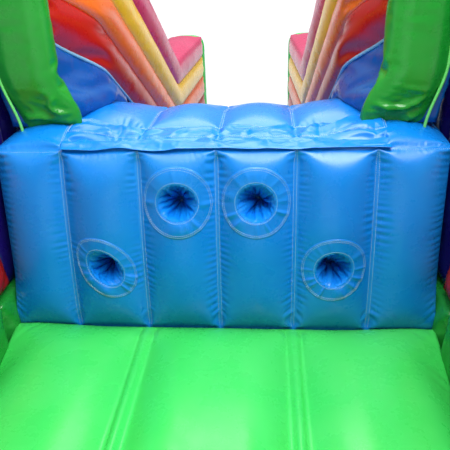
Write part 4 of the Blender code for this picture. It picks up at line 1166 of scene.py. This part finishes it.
def tie_panel(rest, centre, rows, tuck):
    """Pulls each baffle's row in by `tuck`. Gives the held points, and 1 or -1: the way the
    panel's normal points, out of the bag or into it."""
    normal, middle = normals(rest), (rest.shape[0] // 2, rest.shape[1] // 2)
    outward = 1 if normal[middle] @ (rest[middle] - centre) > 0 else -1
    held = np.zeros(rest.shape[:2], bool)
    for row in rows:
        held[row] = True
        fade = np.sin(np.linspace(0, pi, len(rest[row])))[:, None] ** 0.5
        rest[row] -= normal[row] * outward * tuck * fade
    held[[0, -1]] = True
    held[:, [0, -1]] = True
    return held, outward


# %% A bag of six panels
def chamber(name, where, look, stands_for, slot, baffles=(), bare=(), snug=(), step=0.014, swell=0.030,
            gather=0.006, inset=0.018, tuck=0.012, steps=60, stiffness=0.12, fold=None, seed=1):
    """`where` turns shares a, b, c into places. A baffle is (axis letter, share). Faces have names
    such as "a0": bare ones stay flat, snug ones aren't set in. Air lifts the middle of a panel by
    `swell`, and `gather` is the share of cloth that the seamster gathered on top of that.
    `fold` gives the height of sharp folds at each place, where cloth is squeezed at a foot."""
    lines, gaps = panel_lines(where, baffles, snug, step, inset)
    spare = [8 / 3 * (swell / gap) ** 2 + gather for gap in gaps]
    centre, panels = where(*np.full(3, 0.5)), []
    for axis, end in [(axis, end) for axis in range(3) for end in (0, 1)]:
        rest = face_grid(where, lines, axis, end)
        if "abc"[axis] + "01"[end] in bare:
            panels.append((rest, flat_coordinates(rest), np.zeros(rest.shape[:2]), None))
            continue
        one, two = [k for k in range(3) if k != axis]
        rows = []
        for letter, share in baffles:
            if letter == "abc"[one]:
                rows.append((np.abs(lines[one] - share).argmin(), slice(None)))
            elif letter == "abc"[two]:
                rows.append((slice(None), np.abs(lines[two] - share).argmin()))
        held, outward = tie_panel(rest, centre, rows, tuck)
        if outward < 0:
            rest, held = rest[::-1], held[::-1]
        points = inflate(rest, held, (spare[one], spare[two]), 2.5e-5, steps=steps, stiffness=stiffness,
                         seed=seed * 10 + axis * 2 + end)
        if fold:
            out = normals(points)
            loose = 1 - seam_nearness(held, step, 0.03)
            points = points + out * (fold(points, out) * loose)[..., None]
        panels.append((points, flat_coordinates(rest), seam_nearness(held, step), None))
    sewn(name, panels, look, stands_for, slot)
    every = np.concatenate([grid.reshape(-1, 3) for grid, *_ in panels])
    print(name, "from", every.min(0).round(3), "to", every.max(0).round(3))


# %% Plain boxes as a place for a bag
def places(x, y, z):
    """Points from numbers or arrays of x, y and z."""
    return np.stack(np.broadcast_arrays(x, y, z), -1)


def straight(low, high, side=1):
    """A plain box as a `where`, with a turned so that it grows away from the middle plane."""
    near, far = (low.x, high.x) if side > 0 else (high.x, low.x)
    return lambda a, b, c: places(near + (far - near) * a, low.y + (high.y - low.y) * b,
                                  low.z + (high.z - low.z) * c)


# %% [markdown]
# ### Round bags
# Rails, the arch and the blower's sleeve are sewn as tubes. One panel goes all round, with ring
# seams that the air can't stretch, so the cloth bulges between them like a string of barrels.
# The same solver does it, with the grid wrapped round so that its first and last rows are one.

# %% A bag round a line
def round_chamber(name, line, radius, look, stands_for, slot, panel=0.42, step=0.018, slack=0.03, seed=1):
    """A bag round a line, with a ring seam every `panel` metres and four long seams."""
    line = np.asarray(line, float)
    length = lengths(line)
    count = max(8, round(length[-1] / step)) + 1
    line = read_along(line, length, np.linspace(0, length[-1], count))
    ups, ways = ring_ways(line)
    around = 4 * round(2 * pi * radius / step / 4)
    turn = np.linspace(0, 2 * pi, around + 1)[:, None, None]
    rest = line + (radius - 0.012) * (np.cos(turn) * ups + np.sin(turn) * ways)
    held = np.zeros(rest.shape[:2], bool)
    held[:, np.linspace(0, count - 1, max(1, round(length[-1] / panel)) + 1).astype(int)] = True
    held[::around // 4] = True
    points = inflate(rest, held, (slack, slack), 5e-5, steps=60, passes=3, stiffness=0.12, wrap=True,
                     seed=seed)
    panels = [(points, flat_coordinates(rest), seam_nearness(held, step), None)]
    sewn(name, panels, look, stands_for, slot)
    print(name, round(float(length[-1]), 3), "m long")


def along_y(low, high):
    """The middle line of a box that lies along Y."""
    middle = (low + high) / 2
    return [(middle.x, low.y, middle.z), (middle.x, high.y, middle.z)]


# %% [markdown]
# ## The bounce floor and its borders
# The floor is one wide bag. Ties inside pull down two narrow strips, so it swells in three
# lanes. Three bags side by side would swell alike, but they would leave open gaps where the
# real one has a single sheet, so each strip is a pair of baffles close together. Round the
# floor run the borders, with an entrance step in front.

# %% The floor's shape
FLOOR_LOW, FLOOR_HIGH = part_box("bounce_floor")
STRIPS = (-0.33, -0.27, 0.27, 0.33)          # both edges of both strips
FLOOR_SET_IN = 0.016                         # the lanes swell up to the solid's top
EDGE_FALL, SIDE_FALL, BLOCK_DIP = 0.006, 0.074, 0.016


def floor_where(a, b, c):
    """The floor, lower along both borders and where it meets the block."""
    x = FLOOR_LOW.x + (FLOOR_HIGH.x - FLOOR_LOW.x) * np.asarray(a, float)
    y = FLOOR_LOW.y + (FLOOR_HIGH.y - FLOOR_LOW.y) * np.asarray(b, float)
    fall = EDGE_FALL + SIDE_FALL * smoothstep(FLOOR_HIGH.y - y, 0.0, 0.35)
    end = BLOCK_DIP * (1 - smoothstep(FLOOR_HIGH.y - y, 0.0, 0.09)) * (1 - smoothstep(np.abs(x), 0.45, 0.85))
    top = FLOOR_TOP - FLOOR_SET_IN - fall * smoothstep(np.abs(x), 0.75, 0.87) ** 1.5 - end
    return places(x, y, top * c)


# %% Floor, borders and step
strips = [("a", 0.5 + x / (FLOOR_HIGH.x - FLOOR_LOW.x)) for x in STRIPS]
chamber("bounce_floor_mat", floor_where, GREEN_CLOTH, ["bounce_floor"], "green_vinyl", baffles=strips,
        bare=("a0", "a1", "b0", "b1", "c0"), snug=("a0", "a1", "b0", "b1", "c0", "c1"),
        step=0.0108, swell=0.021, gather=0.001, steps=110, seed=2)
for word, side in SIDES:
    # the borders are drawn in the darker green, as painted shade
    chamber("side_border_" + word, straight(*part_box("border_" + word), side), BORDER_SHADED_GREEN_CLOTH,
            ["border_" + word], "green_vinyl", baffles=evenly("b", 6), bare=("c0",), snug=("c0", "b1"),
            swell=0.028, gather=0.002, seed=3)
chamber("front_sill", straight(*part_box("border_front")), GREEN_CLOTH, ["border_front"], "green_vinyl",
        baffles=evenly("a", 2), bare=("c0", "a0", "a1"), snug=("c0", "a0", "a1"), step=0.016, seed=4)
chamber("step_mat", straight(*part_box("entrance_step")), BLUE_CLOTH, ["entrance_step"], "blue_vinyl",
        baffles=evenly("a", 2), bare=("c0",), snug=("c0", "b1"), step=0.016, seed=5)

# %% [markdown]
# ## Side walls
# On each border stand two pillars with a padded bumper, a rail and a net between them. A
# bowed tube spans the entrance. Each is one bag in its own solid's box, so both sides come from
# one loop.

# %% Pillars, bumpers and rails
BUMPER_IN, BUMPER_UP, RAIL = 0.036, 0.028, 0.12


def bumper_where(low, high, side):
    """A box whose foot is drawn in over the border, towards the floor."""
    def where(a, b, c):
        inner = min(abs(low.x), abs(high.x)) - BUMPER_IN * (1 - np.asarray(c, float)) ** 2
        outer = max(abs(low.x), abs(high.x))
        z = low.z + BUMPER_UP + (high.z - low.z - BUMPER_UP) * c
        return places(side * (inner + (outer - inner) * a), low.y + (high.y - low.y) * b, z)
    return where


for word, side in SIDES:
    chamber("front_pillar_" + word, straight(*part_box("pillar_front_" + word), side), PURPLE_CLOTH,
            ["pillar_front_" + word], "purple_vinyl", baffles=evenly("c", 3), bare=("c0",), snug=("c0",),
            seed=6)
    chamber("rear_pillar_" + word, straight(*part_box("pillar_rear_" + word), side), PURPLE_CLOTH,
            ["pillar_rear_" + word], "purple_vinyl", baffles=evenly("b", 2), bare=("c0",), snug=("c0",),
            swell=0.022, seed=7)
    chamber("side_bumper_" + word, bumper_where(*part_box("bumper_" + word), side), RED_CLOTH,
            ["bumper_" + word], "red_vinyl", baffles=evenly("b", 4), bare=("c0",),
            snug=("c0", "b0", "b1", "a0"), seed=8)
    round_chamber("rail_" + word, along_y(*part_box("top_rail_" + word)), RAIL, RED_CLOTH,
                  ["top_rail_" + word], "red_vinyl", seed=9)

# %% The arch over the entrance
ARCH, ARCH_HALF, ARCH_BOW = 0.13, 1.05, 2.6          # a high power bows it flat on top
low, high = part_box("front_arch")
arch_y = (low.y + high.y) / 2
share = np.linspace(-1, 1, 60)
bow = np.stack([ARCH_HALF * share, np.full(60, arch_y),
                low.z + ARCH + (high.z - low.z - 2 * ARCH) * (1 - np.abs(share) ** ARCH_BOW)], -1)
feet = [np.array([(x, arch_y, low.z)]) for x in (-ARCH_HALF, ARCH_HALF)]
round_chamber("arch_tube", np.concatenate([feet[0], bow, feet[1]]), ARCH, YELLOW_CLOTH, ["front_arch"],
              "yellow_vinyl", panel=0.33, seed=10)

# %% [markdown]
# ## The slide
# The slide starts at the block's back edge and curves out onto a flat landing. Its walls stand
# partly on the block. Seen from the side, everything in a wall runs parallel to the slide. The
# slide could be a curve with the bands swept along it, but a sweep can't also turn outwards to
# meet the posts. One function gives the height of a line that is `h` above the slide, and
# another says where a wall's inner face is, and every bag is laid between them.

# %% The slide's lines
SLIDE_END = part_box("slide_bed")[1].y
SLIDE_ANGLE, LANDING_TOP, LANDING_RADIUS = radians(33.4), 0.19, 0.78
CROWN, CROWN_TURN = 0.022, 1.15 * pi         # the crown of the block's solid, and how far it turns
START_Z = EDGE_Z + CROWN * float(np.sin(CROWN_TURN)) - 0.001
CURVE_Z = LANDING_TOP + LANDING_RADIUS
CURVE_Y = (BACK_Y + (START_Z - LANDING_TOP - LANDING_RADIUS * (1 - cos(SLIDE_ANGLE))) / tan(SLIDE_ANGLE)
           + LANDING_RADIUS * sin(SLIDE_ANGLE))
WALL_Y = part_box("slide_side_left")[0].y
WALL_WIDTH, RIM_RISE, BAND_DEPTH = 0.30, 0.03, 0.17
POST_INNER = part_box("slide_post_right")[0].x
LANE_HALF, LANE_NARROWS = 0.50, 0.11         # half its width at the block, and how much that loses
LEAN = 0.075                                 # the posts lean out with the swollen walls
OUTER_FOLLOWS = 0.4                          # a wall's outer face turns out by this share of its inner one


def lane_height(y, h):
    """Height of the line h above the slide's surface, at y."""
    radius = LANDING_RADIUS - h
    foot_y, foot_z = CURVE_Y - radius * sin(SLIDE_ANGLE), CURVE_Z - radius * cos(SLIDE_ANGLE)
    slope = foot_z + (foot_y - y) * tan(SLIDE_ANGLE)
    bend = CURVE_Z - np.sqrt(np.clip(radius ** 2 - (y - CURVE_Y) ** 2, 0, None))
    return np.where(y < foot_y, slope, np.where(y < CURVE_Y, bend, LANDING_TOP + h))


def lane_half(y):
    """Half the lane's width: it narrows a little towards the landing."""
    return LANE_HALF - LANE_NARROWS * (y - BACK_Y) / (SLIDE_END - BACK_Y)


# %% The walls' faces
def post_lean(z):
    """How far the posts lean out at height z: not at all on the block, and fully above it."""
    return LEAN * smoothstep(z, EDGE_Z + 0.02, EDGE_Z + 0.28)


def wall_inner(y, z):
    """A wall's inner face. Near the posts it turns out, so that its cloth runs on to their edges."""
    turn = 1 - smoothstep(y, WALL_Y, WALL_Y + 0.30)
    return lane_half(y) + turn * (POST_INNER - lane_half(WALL_Y) + post_lean(z))


def wall_where(side, y_range, lower, upper):
    """lower and upper give the heights of the wall's two edges at y."""
    def where(a, b, c):
        y = y_range[0] + (y_range[1] - y_range[0]) * np.asarray(b, float)
        z = lower(y) + (upper(y) - lower(y)) * c
        inner = wall_inner(y, z)
        outer = lane_half(y) + WALL_WIDTH + (inner - lane_half(y)) * OUTER_FOLLOWS
        return places(side * (inner + (outer - inner) * a), y, z)
    return where


def at_height(h):
    """The line h above the slide, as a function of y."""
    return lambda y: lane_height(y, h)


def on_ground(y):
    """A wall's lower edge where it stands on the ground."""
    return 0 * y


def on_block(y):
    """A wall's lower edge where it stands on the block: just inside the swollen cover."""
    return swollen_top(0 * y + 0.6, y) - 0.004


# %% Folds where a foot is squeezed
def squeezed(at, reach, depth, seed):
    """Folds that are deepest on the block and gone `reach` above it."""
    fade = 1 - smoothstep(at[..., 2], EDGE_Z + 0.3 * reach, EDGE_Z + reach)
    fade = fade * (1 - smoothstep(at[..., 1], BACK_Y - 0.32, BACK_Y - 0.06))
    slanting = at * (0.7, 0.7, 2.0) + at[..., 2:] * (0.8, 0.0, 0.0)
    large, small = creases(slanting, 0.22, seed) ** 1.4, creases(slanting, 0.10, seed + 1)
    return depth * fade * (large + 0.3 * small - 0.4)


print("slide's curve centre", round(CURVE_Y - FOOT_Y, 3), round(CURVE_Z, 3))

# %% [markdown]
# ### Bed and walls
# The bed is one bag with two long seams. Each wall is a stack of bags: a blue one that stands on
# the ground, then four rainbow bands that share its width. Where a wall stands on the block its
# lowest bag is a separate piece, in a darker blue that paints the shade it stands in, squeezed
# into folds by the weight above it.

# %% The bed
BED_DIP = 0.048                              # its first stretch lies lower than the block's back edge


def bed_where(a, b, c):
    """The slide's bed, from the ground to its surface."""
    y = BACK_Y + (SLIDE_END - BACK_Y) * np.asarray(b, float)
    top = lane_height(y, 0.0) - BED_DIP * (1 - smoothstep(y, BACK_Y, BACK_Y + 0.4))
    return places((2 * a - 1) * lane_half(y), y, top * c)


chamber("slide_lane", bed_where, BLUE_CLOTH, ["slide_bed"], "blue_vinyl", baffles=evenly("a", 2),
        bare=("c0", "b0", "a0", "a1"), snug=("c0", "b0", "a0", "a1", "b1"), step=0.016, swell=0.015,
        gather=0.001, inset=0.012, tuck=0.004, seed=12)

# %% The walls
BANDS = (("red", RED_CLOTH), ("orange", ORANGE_CLOTH), ("yellow", YELLOW_CLOTH), ("pink", PINK_CLOTH))
for word, side in SIDES:
    # the wall's foot on the block is drawn in the darker blue, as painted shade
    chamber("wall_foot_" + word, wall_where(side, (WALL_Y - 0.045, BACK_Y), on_block, at_height(RIM_RISE)),
            WALL_FOOT_SHADED_BLUE_CLOTH, ["slide_side_" + word], "blue_vinyl", bare=("c0", "c1", "b0", "b1"),
            snug=("c0", "c1", "b0", "b1"), step=0.011, inset=0.010,
            fold=lambda at, out: squeezed(at, 0.17, 0.026, 65), seed=13)
    chamber("wall_side_" + word, wall_where(side, (BACK_Y, SLIDE_END), on_ground, at_height(RIM_RISE)),
            BLUE_CLOTH, ["slide_side_" + word], "blue_vinyl", baffles=evenly("b", 4),
            bare=("c0", "c1", "b0", "a0"), snug=("c0", "c1", "b0", "b1"), step=0.020, seed=14)
    for number, (colour, look) in enumerate(BANDS):
        lower, upper = (at_height(RIM_RISE + k * BAND_DEPTH) for k in (number, number + 1))
        chamber("rainbow_" + colour + "_" + word, wall_where(side, (WALL_Y, SLIDE_END), lower, upper), look,
                ["wall_band_" + colour + "_" + word], colour + "_vinyl",
                bare=("c0", "b0") if colour == "pink" else ("c0", "c1", "b0"),
                snug=("c0", "c1", "b0", "b1"), step=0.013, swell=0.028, gather=0.0, inset=0.010, steps=110,
                stiffness=0.5, seed=15 + number)

# %% [markdown]
# ### Posts
# Green bags close the walls' ends. The two front ones stand on the block, which pushes their
# feet into deep folds, and they lean out with the walls. The solver alone would give them short
# puckers only, so the folds are added to the blown-up panel. The two at the landing stand
# straight on the ground.

# %% Posts at both ends
POST_OVERLAP, POST_SLIM = 0.015, 0.011       # over the lane's edge, and slimmer than the solid
FOOT_FIT, POST_SET_BACK = 0.2, 0.034         # the lowest 0.2 m is fitted to the swollen block


def post_where(side, low, high):
    """A post that leans out, with its foot on the block's cover."""
    def where(a, b, c):
        z = np.asarray(low.z + (high.z - low.z) * c, float)
        width = high.x - low.x - POST_SLIM - 0.25 * post_lean(z)
        x = POST_INNER - POST_OVERLAP + width * np.asarray(a, float) + post_lean(z)
        foot = (swollen_top(x, WALL_Y - 0.04) - 0.004 - low.z) * (1 - (z - low.z) / FOOT_FIT)
        z = np.where(z < low.z + FOOT_FIT, z + foot, z)
        back = POST_SET_BACK * (1 - b) * (1 - smoothstep(z, EDGE_Z + 0.02, EDGE_Z + 0.26))
        return places(side * x, low.y + (high.y - low.y) * b + back, z)
    return where


def post_folds(at, out):
    """Folds on a post's front face only."""
    return squeezed(at, 0.24, 0.030, 61) * np.clip(-out[..., 1], 0, 1) ** 4


for word, side in SIDES:
    chamber("front_post_" + word, post_where(side, *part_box("slide_post_" + word)), POST_CLOTH,
            ["slide_post_" + word], "green_post_vinyl", bare=("c0", "b1"), snug=("c0", "b1", "a0"),
            step=0.010, swell=0.020, gather=0.010, inset=0.010, seed=21, fold=post_folds)
    chamber("landing_post_" + word, straight(*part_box("end_post_" + word), side), GREEN_CLOTH,
            ["end_post_" + word], "green_vinyl", bare=("c0", "b0"), snug=("c0", "b0"), seed=22)

# %% [markdown]
# ### Piping
# A cord in a folded strip of cloth is sewn into two seams on each side: where the wall's lowest
# rainbow band starts, and up the outer front edge of the post. It reads as a thin light line
# that follows the seam, so it is a tube along that seam's own formula.

# %% Piping
for word, side in SIDES:
    y = np.linspace(WALL_Y + 0.002, SLIDE_END - 0.002, 160)
    z = lane_height(y, RIM_RISE)
    solid("wall_piping_" + word, *tube(places(side * (wall_inner(y, z) + 0.006), y, z), 0.007), BLUE_PIPING,
          slot="blue_vinyl")
    low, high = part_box("slide_post_" + word)
    z = np.linspace(low.z + 0.012, high.z - 0.012, 80)
    x = side * (POST_INNER + high.x - low.x + 0.75 * post_lean(z) - 0.036)
    solid("post_piping_" + word, *tube(places(x, low.y + 0.008, z), 0.006), GREEN_PIPING,
          slot="green_post_vinyl")

# %% [markdown]
# ### Netting
# Square-mesh net, 40 mm from knot to knot, is laced between the pillars so that nobody falls
# out. The strands sag and wave a little. A sheet with see-through squares would be lighter, but
# real strands throw real shadows and keep their thickness from the side.

# %% Netting
MESH_SIZE, TWINE = 0.04, 0.002
for word, _ in SIDES:
    low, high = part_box("side_net_" + word)
    x, strands = (low.x + high.x) / 2, []
    z = np.linspace(low.z - 0.01, high.z + 0.01, 24)
    for k in range(1, int((high.y - low.y) / MESH_SIZE)):
        strands.append(tube(places(x, low.y + k * MESH_SIZE + 0.003 * np.sin(z * 9 + k), z), TWINE, 4))
    y = np.linspace(low.y - 0.01, high.y + 0.01, 54)
    sag = -0.006 * np.sin(pi * (y - low.y) / (high.y - low.y))
    for k in range(1, int((high.z - low.z) / MESH_SIZE)):
        strands.append(tube(places(x + 0.0015, y, low.z + k * MESH_SIZE + sag), TWINE, 4))
    solid("net_" + word, *gather(strands), NETTING, ["side_net_" + word], "black_netting")
    print("net", word, len(strands), "strands")

# %% [markdown]
# ## Hard parts
# The blower, the anchors and the zip's slider are plain, rigid things, and their measured solids
# already have their real shapes. They only get their materials. The sleeve that carries the air
# is soft, so it is one more round bag.

# %% Dress the hard parts
def dress(look, *names):
    """Gives solids a material and leaves their shape alone."""
    for name in names:
        frame["nodes"][name].data.materials.clear()
        frame["nodes"][name].data.materials.append(look)


dress(BLOWER_SHELL, "blower_housing")
dress(BLACK_SHELL, "blower_base", "carry_handle", "blower_motor", "inlet_grille", "switch_box")
dress(GALVANISED, "impeller")
dress(ROCKER_RED, "rocker_switch")
dress(ZINC, "zip_slider", *(n for n in frame["nodes"] if n.startswith("anchor_ring")))
dress(WEBBING, *(n for n in frame["nodes"] if n.startswith("anchor_tab")))

# %% The air sleeve
low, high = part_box("inflation_sleeve")
round_chamber("sleeve", along_y(low, high), (high.x - low.x) / 2 + 0.004, GREEN_CLOTH, ["inflation_sleeve"],
              "green_vinyl", panel=0.2, step=0.009, seed=23)

# %% [markdown]
# ## The size
# Swollen cloth may stand a little proud of the solids, but not far. The last step measures the
# dressed object's box and prints its size.

# %% Size and finish
low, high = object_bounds()
print("size", [round(b - a, 3) for a, b in zip(low, high)])
